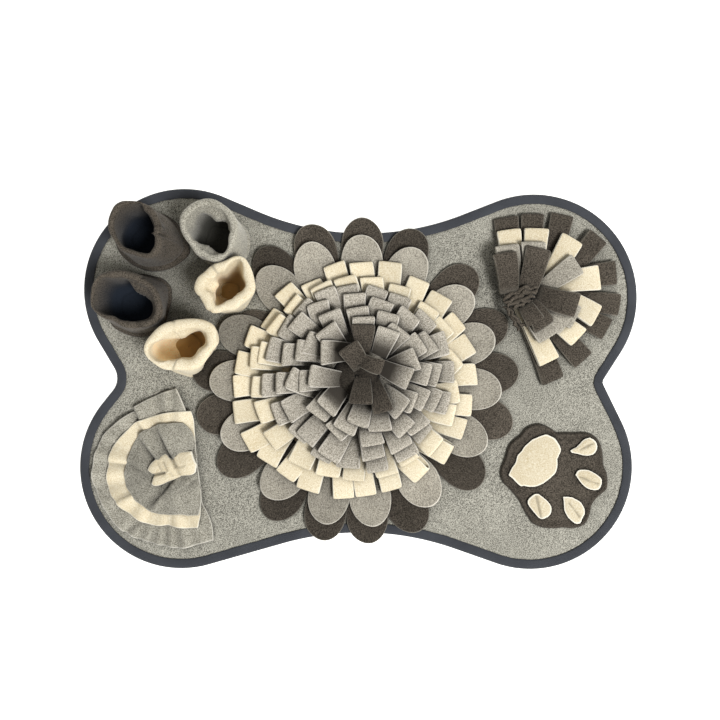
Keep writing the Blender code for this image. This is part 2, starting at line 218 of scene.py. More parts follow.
def shell(grid, thick=PLY, wrap_rows=False, wrap_columns=False, tone=1.0, fade=0.0, edge=0.75):
    """Closed sheets whose outer faces are grids of points, indexed (sheet, row, column).

    The inner face is the grid less its unit normal times the thickness. Each open border gets a loop
    halfway between both faces, moved out. tone scales the colour, for random tone and painted shade
    and light, and fade turns it to the second one, a painted shade. edge is how much of the raw
    edge's paler colour, a painted highlight, the border takes.
    """
    grid = np.asarray(grid, float)
    grid = grid if grid.ndim == 4 else grid[None]
    count, rows, columns = grid.shape[:3]
    normal = unit(np.cross(change(grid, 1, wrap_rows), change(grid, 2, wrap_columns)))
    inner = grid - normal * thick
    index = np.arange(rows * columns).reshape(rows, columns)
    cell = quads(index, wrap_rows, wrap_columns)
    size = rows * columns
    nil = np.zeros((count, rows, columns))
    weave = np.stack((walked(grid, 1), walked(grid, 2), nil), -1)
    tones = np.stack((np.broadcast_to(tone, nil.shape), np.broadcast_to(fade, nil.shape), nil), -1)
    flat = [array.reshape(count, size, 3) for array in (grid, inner, normal, weave, tones)]
    points, weaves, toning = [flat[0], flat[1]], [flat[3], flat[3].copy()], [flat[4], flat[4]]
    faces = [cell, cell[:, ::-1] + size]
    first = 2 * size
    for loop in borders(index, wrap_rows, wrap_columns):
        out, back = flat[0][:, loop], flat[1][:, loop]
        run = np.roll(out, -1, 1) - np.roll(out, 1, 1)
        away = unit(np.cross(run, flat[2][:, loop]))
        points.append((out + back) / 2 + away * ROUNDING * thick)
        for side in (0, 1):
            weaves[side][:, loop, 2] = edge
        weaves.append(weaves[0][:, loop].copy())
        weaves[-1][..., 2] = 1.0 if edge else 0.0
        toning.append(flat[4][:, loop])
        rim = first + np.arange(len(loop))
        after, rim_after = np.roll(loop, -1), np.roll(rim, -1)
        faces.append(np.stack((after, loop, rim, rim_after), -1))
        faces.append(np.stack((rim_after, rim, loop + size, after + size), -1))
        first += len(loop)
    faces = np.concatenate(faces)
    every = (np.arange(count) * first)[:, None, None] + faces[None]
    return Cloth(np.concatenate(points, 1).reshape(-1, 3), every.reshape(-1, 4),
                 np.concatenate(weaves, 1).reshape(-1, 3), np.concatenate(toning, 1).reshape(-1, 3),
                 area(grid, wrap_rows, wrap_columns))


square = np.stack(np.meshgrid(np.arange(3.0), np.arange(3.0), [0.0], indexing="ij"), -1)[:, :, 0]
print("points of a sheet on a grid of 3 by 3:", len(shell(square).points))


# %% From sheets to a piece
def sew(name, cloths, material, nodes):
    """One object from several sheets of cloth.
    """
    offsets = np.cumsum([0] + [len(cloth.points) for cloth in cloths[:-1]])
    points = np.concatenate([cloth.points for cloth in cloths]) * MM
    faces = np.concatenate([cloth.faces + offset for cloth, offset in zip(cloths, offsets)])
    mesh = bpy.data.meshes.new(name)
    mesh.from_pydata(points.tolist(), [], faces.tolist())
    mesh.shade_smooth()
    for layer, values in (("weave", [c.weave for c in cloths]), ("tone", [c.tone for c in cloths])):
        stored = mesh.attributes.new(layer, "FLOAT_VECTOR", "POINT")
        stored.data.foreach_set("vector", np.concatenate(values).astype(np.float32).ravel())
    mesh.materials.append(material)
    piece = bpy.data.objects.new(name, mesh)
    scene.collection.objects.link(piece)
    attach(piece, "root")
    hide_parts(*nodes)
    return piece


# %% [markdown]
# ## Polar fleece
# Polar fleece is a polyester knit whose loops are torn up by wire brushes and sheared. The eye sees
# a dull cloth with clumps of pile about 1 mm wide, faint streaks where the nap was brushed, and wide
# soft patches where a hand has stroked it. A raw edge is painted paler, a painted highlight on its
# rounded cut. Hair could make a real pile, but a mat would need millions of hairs. So clumps,
# streaks and patches are noise at those sizes. Bump gives the clumps some height, and a little
# sheen makes the flanks of a fold paler. Where little open sky is left, in a crevice, the colour is
# darkened as painted shade, on top of the shade that the lamp and surround make.

# %% Pile, nap and patches
CLUMP = 1.25
STREAK = (0.16, 0.6)  # noise steps per mm along and across the nap
PATCH = 46.0
CLUMP_WEIGHT, STREAK_WEIGHT, PATCH_WEIGHT = 1.95, 0.35, 0.25
SPREAD = 0.31  # how far the noise strays from its middle, between the deep and the face colour


def pile(tree, place, weave, grain, nap_turn, clump):
    """The height of clumps and streaks, and with patches the share from deep to face colour.

    Each noise is multiplied by its weight and added. The middle of a noise is a half, so the middle
    of the sum is half of the weights.
    """
    turned = add(tree, "ShaderNodeVectorRotate", {"Vector": weave, "Angle": -math.radians(nap_turn)},
                 rotation_type="Z_AXIS")
    nap = add(tree, "ShaderNodeMapping", {"Vector": turned.outputs[0], "Scale": (*STREAK, 0.0)})
    clumps = add(tree, "ShaderNodeTexNoise", {
        "Vector": place, "Scale": 1 / (clump * MM), "Detail": 1.0, "Roughness": 0.5})
    streaks = add(tree, "ShaderNodeTexNoise", {
        "Vector": nap.outputs[0], "Scale": 1.0, "Detail": 1.0, "Distortion": 0.6})
    patches = add(tree, "ShaderNodeTexNoise", {
        "Vector": place, "Scale": 1 / (PATCH * MM), "Detail": 1.0})
    fine = add(tree, "ShaderNodeMath", {
        0: clumps.outputs["Fac"], 1: CLUMP_WEIGHT * grain}, operation="MULTIPLY")
    height = add(tree, "ShaderNodeMath", {
        0: streaks.outputs["Fac"], 1: STREAK_WEIGHT * grain, 2: fine.outputs[0]},
        operation="MULTIPLY_ADD")
    total = add(tree, "ShaderNodeMath", {
        0: patches.outputs["Fac"], 1: PATCH_WEIGHT, 2: height.outputs[0]}, operation="MULTIPLY_ADD")
    middle = ((CLUMP_WEIGHT + STREAK_WEIGHT) * grain + PATCH_WEIGHT) / 2
    share = add(tree, "ShaderNodeMapRange", {
        "Value": total.outputs[0], "From Min": middle - SPREAD, "From Max": middle + SPREAD})
    return height.outputs[0], share.outputs[0]


print("noise, mm: clumps", CLUMP, "streaks", [round(1 / step, 1) for step in STREAK], "patches", PATCH)

# %% The fleece recipe
PILE_HEIGHT = 0.5
CREVICE_PAINTED_SHADE = (13.0, 0.1)  # painted shade: cloth this near darkens a crevice, down to this share
OPEN_SKY = (0.25, 0.85)  # the open share at which a crevice is darkest, and at which it ends


def fleece(name, colour, deep, edge, second=None, grain=1.0, nap_turn=0.0, clump=CLUMP,
           crevice=CREVICE_PAINTED_SHADE, sheen=0.18):
    """Fleece from deep to colour by its pile, and to edge, a painted highlight, at a raw edge.

    The tone attribute's first part scales the colour, for random tone and painted shade and light, and
    its second part turns it to second, a painted shade colour. In a crevice, where little open sky is
    left, the colour is darkened further, as painted shade.
    """
    material, tree, out = new_material(name)
    place = add(tree, "ShaderNodeTexCoord").outputs["Object"]
    weave = add(tree, "ShaderNodeAttribute", attribute_name="weave").outputs["Vector"]
    tone = add(tree, "ShaderNodeAttribute", attribute_name="tone").outputs["Vector"]
    height, share = pile(tree, place, weave, grain, nap_turn, clump)
    face = add(tree, "ShaderNodeMix", {
        0: share, "A": linear(deep), "B": linear(colour)}, data_type="RGBA")
    parts = add(tree, "ShaderNodeSeparateXYZ", {0: tone})
    if second:
        face = add(tree, "ShaderNodeMix", {
            0: parts.outputs[1], "A": face.outputs["Result"], "B": linear(second)}, data_type="RGBA")
    near = add(tree, "ShaderNodeSeparateXYZ", {0: weave})
    edged = add(tree, "ShaderNodeMix", {
        0: near.outputs[2], "A": face.outputs["Result"], "B": linear(edge)}, data_type="RGBA")
    open_sky = add(tree, "ShaderNodeAmbientOcclusion", {"Distance": crevice[0] * MM}, samples=6)
    shade = add(tree, "ShaderNodeMapRange", {
        "Value": open_sky.outputs["AO"], "From Min": OPEN_SKY[0], "From Max": OPEN_SKY[1],
        "To Min": crevice[1]})
    dimmed = add(tree, "ShaderNodeMath", {
        0: parts.outputs[0], 1: shade.outputs[0]}, operation="MULTIPLY")
    toned = add(tree, "ShaderNodeVectorMath", {
        0: edged.outputs["Result"], "Scale": dimmed.outputs[0]}, operation="SCALE")
    bump = add(tree, "ShaderNodeBump", {
        "Height": height, "Strength": 0.7, "Distance": PILE_HEIGHT * MM})
    shader = add(tree, "ShaderNodeBsdfPrincipled", {
        "Base Color": toned.outputs[0], "Roughness": 0.95, "Specular IOR Level": 0.12,
        "Sheen Weight": sheen, "Sheen Roughness": 0.5, "Normal": bump.outputs[0]})
    tree.links.new(shader.outputs["BSDF"], out.inputs["Surface"])
    return material


print("a crevice begins at an open share of", OPEN_SKY[1], "and is darkest at", OPEN_SKY[0])

# %% The fleeces
# second is a painted shade colour: deep inside a cup, towards a loop's root, on a heading under loops. The
# panel's crevice reaches far, so the tall pieces paint shade on it.
BASE_FLEECE = fleece("grey_fleece_panel", "c8c5b8", "67655d", "b4b1a3", grain=1.2, nap_turn=62,
                     clump=1.0, crevice=(55.0, 0.36))
MID_GREY = fleece("grey_fleece_cut", "cbc7b9", "7c786c", "e6e2d6", second="45443f", grain=0.9)
LIGHT_GREY = fleece("light_grey_fleece", "cac4b5", "7f796f", "e8e2d5", grain=0.8)
LOOP_GREY = fleece("light_grey_fleece_strip", "d9d2c4", "8e877a", "f0eadf", second="46413a",
                   crevice=(16.0, 0.06))
CHARCOAL = fleece("charcoal_fleece", "675f55", "302c26", "a09a8e", second="20262f", grain=0.9,
                  sheen=0.08)
CREAM = fleece("cream_fleece", "fff6de", "dac8a2", "fffaea", second="a58658", grain=0.6,
               crevice=(11.0, 0.25))
print("fleeces:", [m.name for m in bpy.data.materials if "fleece" in m.name])

# %% [markdown]
# ## Binding tape
# The edge is bound with polyester tape, woven with a fine rib across it and pressed in half. Ribs in
# the mesh would need half a million faces, so they are a wave on the distance along the tape. Ribs
# are 0.5 mm apart on the real tape. They are drawn 1.6 mm apart here, because finer ones don't show.

# %% The tape recipe
RIB = 1.6
RIB_HEIGHT = 0.2
RIB_WEIGHT = 0.35  # of the ribs in the colour, beside the dye's
DYE_PATCH = 30.0
WAVES_A_UNIT = 3.18  # that the wave texture has at scale 1


def tape(name, colour, deep):
    """Ribbed tape, from deep to colour by the wave of its ribs times a weight, plus slow dye noise."""
    material, tree, out = new_material(name)
    place = add(tree, "ShaderNodeTexCoord").outputs["Object"]
    weave = add(tree, "ShaderNodeAttribute", attribute_name="weave").outputs["Vector"]
    ribs = add(tree, "ShaderNodeTexWave", {
        "Vector": weave, "Scale": 1 / (RIB * WAVES_A_UNIT), "Distortion": 0.6, "Detail": 1.0},
        bands_direction="Y")
    dye = add(tree, "ShaderNodeTexNoise", {
        "Vector": place, "Scale": 1 / (DYE_PATCH * MM), "Detail": 3.0})
    both = add(tree, "ShaderNodeMath", {
        0: ribs.outputs["Fac"], 1: RIB_WEIGHT, 2: dye.outputs["Fac"]}, operation="MULTIPLY_ADD")
    face = add(tree, "ShaderNodeMix", {
        0: both.outputs[0], "A": linear(deep), "B": linear(colour)}, data_type="RGBA")
    bump = add(tree, "ShaderNodeBump", {
        "Height": ribs.outputs["Fac"], "Strength": 0.5, "Distance": RIB_HEIGHT * MM})
    shader = add(tree, "ShaderNodeBsdfPrincipled", {
        "Base Color": face.outputs["Result"], "Roughness": 0.75, "Specular IOR Level": 0.3,
        "Sheen Weight": 0.1, "Normal": bump.outputs[0]})
    tree.links.new(shader.outputs["BSDF"], out.inputs["Surface"])
    return material


TAPE = tape("woven_binding_tape", "46494f", "2a2c32")
print("ribs in 10 mm of tape:", 10 / RIB)

# %% [markdown]
# ## Panel and binding
# The panel is a padded bone shape: four round lobes with waists between. Its outline could be drawn
# point by point, but a belt round eight circles gives it with few numbers and no flat spots. The
# panel could be an extruded curve, but that can't pucker. So its grid runs from the middle out to
# the belt, and its top puckers a little along the binding, where sewing has drawn it in.

# %% The outline
Circle = namedtuple("Circle", "x y radius side")
MAT_OUTLINE = (
    Circle(222, 105, 130, +1),
    Circle(8, 526, 340, -1),
    Circle(-219, 115, 127, +1),
    Circle(-328, 3, 24, -1),
    Circle(-223, -109, 128, +1),
    Circle(3, -550, 358, -1),
    Circle(217, -109, 129, +1),
    Circle(315, -2, 6, -1),
)
MAT_THICK = 3.6
BINDING_THICK = 1.0
ON_MAT = MAT_THICK + 0.3
print("circles in the outline:", len(MAT_OUTLINE), "and the mat's top, mm:", ON_MAT)


# %% A belt round circles
def perimeter(loop):
    """The length of a closed loop of points."""
    return np.linalg.norm(np.roll(loop, -1, 0) - loop, axis=1).sum()


def even(loop, count):
    """A closed loop of points as count points evenly spaced along it."""
    closed = np.vstack((loop, loop[:1]))
    run = np.concatenate(([0], np.cumsum(np.linalg.norm(np.diff(closed, axis=0), axis=1))))
    at = np.linspace(0, run[-1], count, endpoint=False)
    return np.column_stack([np.interp(at, run, closed[:, i]) for i in range(closed.shape[1])])


def belt(circles, spacing=4.0):
    """An even number of evenly spaced points round a belt of circles.

    Each straight run touches two circles. A circle whose side is -1 bends the belt inwards.
    """
    leave = []
    for here, there in zip(circles, circles[1:] + circles[:1]):
        across, up = there.x - here.x, there.y - here.y
        drop = (here.radius * here.side - there.radius * there.side) / math.hypot(across, up)
        leave.append(math.atan2(up, across) - math.acos(drop))
    arcs = []
    for number, circle in enumerate(circles):
        turn = (leave[number] - leave[number - 1]) % (2 * math.pi)
        if circle.side < 0:
            turn -= 2 * math.pi
        steps = max(3, round(abs(turn) * circle.radius / spacing))
        angle = leave[number - 1] + turn * np.linspace(0, 1, steps + 1)
        reach = circle.radius * circle.side
        arcs.append(np.column_stack((circle.x + reach * np.cos(angle), circle.y + reach * np.sin(angle))))
    line = np.concatenate(arcs)
    return even(line, 2 * round(perimeter(line) / (2 * spacing)))


def inset(loop, distance):
    """A closed loop moved in by a distance along its own normals."""
    run = unit(np.roll(loop, -1, 0) - np.roll(loop, 1, 0))
    return loop + distance * np.column_stack((-run[:, 1], run[:, 0]))


outline = belt(MAT_OUTLINE)
print("binding length, mm:", round(perimeter(outline)), "in", len(outline), "steps")

# %% Waves along an edge
SINES = 12


def ramp(value, start, end):
    """A share that rises evenly from 0 at the start to 1 at the end."""
    return np.clip((value - start) / (end - start), 0, 1)


def waves(run, period, seed):
    """Smooth noise on a closed run: a sum of sines of whole numbers of turns, from -1 to 1."""
    random = np.random.default_rng(seed)
    turns = 2 * math.pi * run / run.max() * (len(run) - 1) / len(run)
    total = np.zeros(len(run))
    for _ in range(SINES):
        count = round(run.max() / period * random.uniform(0.5, 1.8))
        total += np.sin(count * turns + random.uniform(0, 6.28)) * random.uniform(0.4, 1)
    return total / np.abs(total).max()


run = np.linspace(0, perimeter(outline), len(outline))
print("steps along the edge:", len(run), "of about, mm:", round(run[1], 1))

# %% The panel's faces
PANEL_SHARES = np.concatenate((np.linspace(0.02, 0.88, 40), np.linspace(0.9, 1.0, 9)))
PANEL_TOP = MAT_THICK - 0.35
PANEL_EDGE_TOP = MAT_THICK - 1.4
TAPE_IN = 5.0  # from the outline to the panel's own edge, inside the tape
TAPE_LOW = BINDING_THICK + 0.1
PUCKER, PUCKER_PERIOD, PUCKER_PLACE, PUCKER_DEPTH = 0.55, 26, 14, 22.0  # place: from the edge
SWELL, SWELL_END = 0.25, 0.97

edge_line = inset(outline, TAPE_IN)
shares = PANEL_SHARES[:, None]
spokes = edge_line[None] * shares[..., None]
from_edge = np.linalg.norm(edge_line, axis=1)[None] * (1 - shares)
tucks = PUCKER * np.exp(-np.abs(from_edge - PUCKER_PLACE) / PUCKER_DEPTH) * waves(run, PUCKER_PERIOD, 3)
swell = SWELL * np.sin(spokes[..., 0] / 47 + 1) * np.cos(spokes[..., 1] / 39)
free = ramp(from_edge, 6, 14)
rise = PANEL_EDGE_TOP * (1 - free) + (PANEL_TOP + tucks + swell * (shares < SWELL_END)) * free
upper = np.concatenate((spokes, rise[..., None]), -1)
lower = np.concatenate((spokes, np.zeros_like(rise)[..., None]), -1)
lower[-3:, :, 2] = np.array((0.6, 1, 1))[:, None] * TAPE_LOW
print("panel grid:", rise.shape, "top, mm:", rise.min().round(2), "to", rise.max().round(2))


# %% The panel
def solid_of(upper, lower):
    """A closed sheet from an upper and a lower polar grid: out along the top and in underneath.

    Each grid starts with a small ring of an even number of points. A fan of quads round its middle
    fills it.
    """
    grid = np.concatenate((upper, lower[::-1]))[None]
    rows, columns = grid.shape[1:3]
    index = np.arange(rows * columns).reshape(rows, columns)
    points = [grid.reshape(-1, 3)]
    faces = [quads(index, False, True)]
    middle = rows * columns
    for ring, flip in ((index[0], False), (index[-1], True)):
        points.append(points[0][ring].mean(0)[None])
        first, second = ring[::2], ring[1::2]
        fan = np.stack((np.full(len(first), middle), first, second, np.roll(first, -1)), -1)
        faces.append(fan[:, ::-1] if flip else fan)
        middle += 1
    points = np.concatenate(points)
    weave = np.column_stack((points[:, 0], points[:, 1], np.zeros(len(points))))
    tone = np.column_stack((np.ones(len(points)), np.zeros((len(points), 2))))
    return Cloth(points, np.concatenate(faces), weave, tone, area(grid, False, True) / 2)


sew("base_fleece_panel", [solid_of(upper, lower)], BASE_FLEECE, ["base_panel"])

# %% The binding
BindPoint = namedtuple("BindPoint", "inset height")
BINDING_SECTION = (
    BindPoint(12.0, 0.0), BindPoint(7.0, 0.0), BindPoint(2.2, 0.0), BindPoint(0.8, 0.4),
    BindPoint(0.0, 1.4), BindPoint(0.0, 2.4), BindPoint(0.7, 3.5), BindPoint(2.0, 4.2),
    BindPoint(5.0, 4.5), BindPoint(9.0, 4.4), BindPoint(11.4, 4.1), BindPoint(12.0, 3.7),
)
WOBBLE, WOBBLE_FROM = 0.35, 8  # the tape's inner edges stray, past this inset
CREST, CREST_FROM = 0.25, 3.6  # stitches lift its upper face, past this height

wobble = WOBBLE * waves(run, 34, 11)
crest = CREST * waves(run, 15, 5)
rings = [np.column_stack((inset(outline, place.inset + wobble[:, None] * (place.inset > WOBBLE_FROM)),
                          place.height + crest * (place.height > CREST_FROM)))
         for place in BINDING_SECTION]
binding = shell(np.stack(rings)[::-1], BINDING_THICK, wrap_columns=True, edge=0.0)
sew("binding_tape_edge", [binding], TAPE, ["edge_binding"])

# %% [markdown]
# ## Petals
# A petal is a tongue of fleece with a round end, sewn down under the dome. One ring is charcoal, the
# other light grey and higher. A cloth simulation could lay them down, but it would need pins for
# each and many minutes. So one formula makes all of them. The grid of a square is bent to a round
# end by the usual map from a square to a disc, and a dart at the root makes the end curl up.

# %% Petal rings
FLOWER = np.array((-3.0, 0.0))
PETAL_ROOT = 109
FLAT_UNTIL = 150
END_LENGTH = 34
PetalRing = namedtuple("PetalRing", "name material slot height lift half_width tip dim dart angles")
PETAL_RINGS = (
    PetalRing("petal_dark", CHARCOAL, "charcoal_fleece", ON_MAT, 3.5, 26, 204, 0.3, 0.4,
              (87, 68, 43, 22, 3, -16, -39, -68, -85, -103, -122, -147, -166, 176, 153, 126, 107)),
    PetalRing("petal_light", LIGHT_GREY, "light_grey_fleece", ON_MAT + PLY + 0.4, 9, 26, 181, 0.06, 1.0,
              (87, 65, 38, 18, -4, -27, -58, -83, -103, -127, -156, 180, 158, 130, 110)),
)
SHORT_TIPS = {"petal_dark_15": 168}
# a petal's own tone: partly a nap, darker where it is brushed one way and paler the other way,
# and partly painted shade and light, such as the cups' painted shadow on petal_light_13 and 14
NAP_AND_PAINTED_LIGHT = {"petal_light_03": 1.1, "petal_light_07": 1.16, "petal_light_09": 0.9, "petal_light_10": 0.87,
           "petal_light_12": 0.8, "petal_light_13": 0.48, "petal_light_14": 0.74, "petal_dark_02": 0.75,
           "petal_dark_06": 1.35, "petal_dark_14": 0.7, "petal_dark_16": 0.65}
print("petals:", {ring.name: len(ring.angles) for ring in PETAL_RINGS})

# %% A petal's outline
ROOT_TAPER = 0.42
U_STEPS = np.concatenate((np.linspace(-1, 0, 15)[:-1], np.linspace(0, 0.88, 9), (0.94, 0.975, 1.0)))
V_STEPS = np.array((-1, -0.965, -0.9, -0.75, -0.55, -0.35, -0.18, -0.06, 0.06, 0.18, 0.35, 0.55, 0.75,
                    0.9, 0.965, 1))


def petal_outline(tip, half_width):
    """Radius and side on a petal's grid: a straight part that widens, then half a disc.

    The map to a disc multiplies u by the root of 1 - v * v / 2, and v by the root of 1 - u * u / 2.
    """
    u, v = np.meshgrid(U_STEPS, V_STEPS, indexing="ij")
    straight = tip - PETAL_ROOT - END_LENGTH
    taper = 1 - ROOT_TAPER * np.clip(-u, 0, 1) ** 1.6
    reach = np.where(u > 0, END_LENGTH * u * np.sqrt(1 - v * v / 2), straight * u)
    side = np.where(u > 0, v * np.sqrt(np.clip(1 - u * u / 2, 0, 1)), v * taper) * half_width
    return PETAL_ROOT + straight + reach, side


def along(heading):
    """The unit vector at this many degrees from +X: their cosine and sine."""
    return np.array((math.cos(math.radians(heading)), math.sin(math.radians(heading))))


print("a petal's grid:", petal_outline(204, 26)[0].shape)

# %% A petal's height and tone
CURL = 3.0  # how far its sides come up
DART, DART_WIDTH = 3.0, 5.0
SWELL_RISE, SWELL_SIDE, SWELL_WIDTH = 1.2, 12, 7  # of the cloth beside the dart
FLUTTER, FLUTTER_STEP = 1.4, 8
# painted shade: a petal's tone at its root, under the dome's loops; it grows to 1 towards the tip
ROOT_SHADED_TONE = 0.72


def bell(value, width):
    """A smooth bump: e to the power of minus the square of value by width."""
    return np.exp(-(value / width) ** 2)


def petal(ring, number, angle):
    """A petal's name, upper face and tone.

    Past its flat part it rises by the power 1.5 of the share, and its sides by the square of side.
    The dart is a bell across times a bell along, and the tone grows from the root. The tone is
    painted shade: darker at the root under the loops, along the dart's crease, and towards the
    bottom of the mat.
    """
    random = np.random.default_rng(100 * len(ring.name) + number)
    name = f"{ring.name}_{number:02}"
    tip = SHORT_TIPS.get(name, ring.tip)
    radius, side = petal_outline(tip, ring.half_width)
    share = ramp(radius, PETAL_ROOT, tip)
    rise = ramp(radius, FLAT_UNTIL, ring.tip) ** 1.5
    curl = CURL * (side / ring.half_width) ** 2 * rise * random.uniform(0.3, 1.6)
    tilt = random.uniform(-0.05, 0.05) * side * rise
    flutter = FLUTTER * rise * np.sin(side / FLUTTER_STEP + random.uniform(0, 6.3))
    dart = -DART * bell(side, DART_WIDTH) * bell(share - 0.3, 0.32)
    swell = SWELL_RISE * bell(np.abs(side) - SWELL_SIDE, SWELL_WIDTH) * bell(share - 0.35, 0.3)
    height = ring.height + PLY + rise * ring.lift + curl + tilt + flutter
    height += (dart + swell) * ring.dart * ramp(radius, 112, 137)
    lean = random.uniform(-2.0, 2.0) * rise
    place = FLOWER + radius[..., None] * along(angle) + (side + lean)[..., None] * along(angle + 90)
    grid = np.concatenate((place, np.maximum(height, ring.height + PLY)[..., None]), -1)
    # painted shade along the dart's crease
    crease = 1 - 0.16 * bell(side, 3.5) * bell(share - 0.4, 0.3)
    tone = (ROOT_SHADED_TONE + (1 - ROOT_SHADED_TONE) * ramp(share, 0.25, 0.8)) * crease
    # painted shade: petals nearer the bottom of the mat are darker, by the ring's dim
    lit = 1 - ring.dim * (1 - math.sin(math.radians(angle))) / 2
    return name, grid, tone * random.uniform(0.93, 1.06) * lit * NAP_AND_PAINTED_LIGHT.get(name, 1.0)


print("a petal's highest point, mm:", round(petal(PETAL_RINGS[1], 1, 90)[1][..., 2].max(), 1))

# %% The petals
for ring in PETAL_RINGS:
    for number, angle in enumerate(ring.angles, 1):
        name, grid, tone = petal(ring, number, angle)
        sew(f"{name}_cloth", [shell(grid, tone=tone, edge=0.5)], ring.material, [name])

# %% [markdown]
# ## Loops
# A strip of fleece is folded along its middle and slit from the fold, which makes a row of loops on
# one heading. Wound inwards, such strips make the dome. Loops could be copies of one, set out along
# a curve, but loops in a real dome push each other about. So each is a path of its own: out along
# the top, round a tight fold at the tip, and back underneath. It has its own place, turn, roll and
# bend, and whole rows are worked out at once.

# %% Where the loops are
DOME_BASE = np.array((-5.0, 0.0))
DOME_LEAN = np.array((15.0, 28.0))
DOME_HEIGHT = 57.0
LOOP_WIDTH = 27.5
FOLD = 2.7  # half the height of a loop at its tip
BED = ON_MAT + 0.4  # the lowest that a loop may sink
LoopRow = namedtuple("LoopRow", "height slope length pinch tone tips")
# each tip has an angle, a reach and a turn, then a length and width if they aren't the row's
CREAM_ROWS = (
    LoopRow(14.5, 3, 50, 0.04, 1.0, (
        (87, 148, 9), (73, 155, 10), (57, 151, 10), (44, 153, 16), (30, 152, 9), (18, 153, 14),
        (3, 153, 5), (-12, 150, 8), (-24, 151, 6), (-38, 151, 11), (-54, 147, 13), (-71, 145, -3),
        (-84, 145, 2), (-95, 148, 8), (-113, 149, 6), (-126, 148, 1), (-137, 150, 15),
        (-150, 157, -1), (-165, 156, -9), (-177, 151, 1), (171, 149, 0), (157, 145, 4),
        (144, 135, 0), (128, 145, 3), (114, 135, -1), (100, 148, 10))),
    LoopRow(24.0, 12, 48, 0.08, 1.0, (
        (96, 127, 10), (81, 128, 11), (64, 129, 13), (44, 130, 13), (31, 133, 11), (13, 129, 28),
        (-6, 129, 16), (-20, 131, 7), (-40, 132, 1), (-56, 124, -5), (-71, 126, -4),
        (-91, 125, -5), (-106, 125, 7), (-123, 127, 8), (-144, 131, 0), (-161, 128, 1),
        (-176, 128, -9), (168, 132, 7), (164, 123, 6), (145, 124, -4), (130, 125, 11),
        (110, 125, 7))),
)
GREY_ROWS = (
    LoopRow(32.0, 18, 47, 0.18, 1.0, (
        (96, 113, 6), (76, 113, -6), (61, 114, 11), (40, 116, 5), (21, 119, -6), (3, 120, -1),
        (-16, 118, 1), (-40, 112, 0), (-57, 118, -5), (-77, 119, -3), (-95, 112, 0),
        (-114, 110, -3), (-135, 104, 5), (-155, 111, -5), (-175, 116, -7), (162, 114, 3),
        (144, 111, 6), (128, 112, 10), (110, 115, 2))),
    LoopRow(38.0, 22, 46, 0.2, 0.99, (
        (92, 99, 0), (71, 96, -1), (49, 100, 2), (25, 100, 12), (-1, 100, -15), (-19, 104, -7),
        (-41, 102, -13), (-59, 106, -1), (-79, 105, 4), (-110, 108, -12), (-129, 103, -5),
        (-152, 99, 0), (-174, 100, -8), (165, 95, 8), (139, 102, 2), (119, 101, -11))),
    LoopRow(43.0, 26, 46, 0.26, 0.98, (
        (92, 78, 6), (63, 80, 11), (45, 73, 5), (26, 84, 7), (-3, 86, -10), (-24, 89, -1),
        (-30, 78, 8), (-51, 93, 6), (-79, 91, -1), (-113, 81, -22), (-135, 75, 10),
        (-171, 74, -9), (-176, 86, -29), (161, 81, 11), (151, 75, 7), (117, 81, -4))),
    LoopRow(47.5, 28, 48, 0.42, 0.97, (
        (87, 62, 3), (54, 58, 16), (10, 69, 10), (-13, 61, -12), (-45, 72, 5), (-73, 80, -15),
        (-94, 69, -14), (-106, 79, -12), (-172, 63, -15), (159, 52, 21), (132, 65, -4),
        (-131, 66, 0))),
)
DARK_ROWS = (
    LoopRow(51.0, 32, 50, 0.5, 0.95, (
        (89, 49, -1, 38, 26), (-66, 62, -6, 44, 24), (-93, 47, -1, 38, 28))),
    LoopRow(54.5, 14, 30, 0.2, 0.95, (
        (138, 28, -14, 28, 25), (-19, 23, -1, 27, 20))),
)

for name, rows in (("cream", CREAM_ROWS), ("grey", GREY_ROWS), ("dark", DARK_ROWS)):
    print(f"{name} loops in the dome:", sum(len(row.tips) for row in rows))

# %% The path of a loop
ROOT_STEPS = np.array((1.0, 0.82, 0.62, 0.45, 0.3, 0.18, 0.08, 0.0))
TURN_STEPS = np.radians((60, 30, 0, -30, -60))
LOOP_ACROSS = np.array((-1, -0.92, -0.62, -0.22, 0.22, 0.62, 0.92, 1))
SOFT_STOP = 2.0  # above the bed, where a sinking loop begins to slow down


def lean_at(height):
    """How far the dome's middle has moved at a height: the lean times the cube of its share."""
    return DOME_BASE + DOME_LEAN * (height / DOME_HEIGHT) ** 3


def path(fold, length, belly):
    """How far back from its tip and how high each step of a loop's path is.

    The fold is an arc. From it the top runs back to the root and bellies up by a sine, and the
    underside is its mirror.
    """
    steps, turns = ROOT_STEPS[None, :, None], TURN_STEPS[None, :, None]
    run, top = fold + (length - fold) * steps, fold + belly * np.sin(math.pi * steps)
    back = np.concatenate((run, fold - fold * np.cos(turns), run[:, ::-1]), 1)
    return back, np.concatenate((top, fold * np.sin(turns), -top[:, ::-1]), 1)


def stopped(rise):
    """Heights that near the bed without reaching it: below the soft stop they fall off as e ** x."""
    stop = BED + SOFT_STOP
    return np.where(rise > stop, rise, BED + SOFT_STOP * np.exp(np.clip(rise - stop, None, 0) / SOFT_STOP))


print("steps along and across a loop:", 2 * len(ROOT_STEPS) + len(TURN_STEPS), len(LOOP_ACROSS))

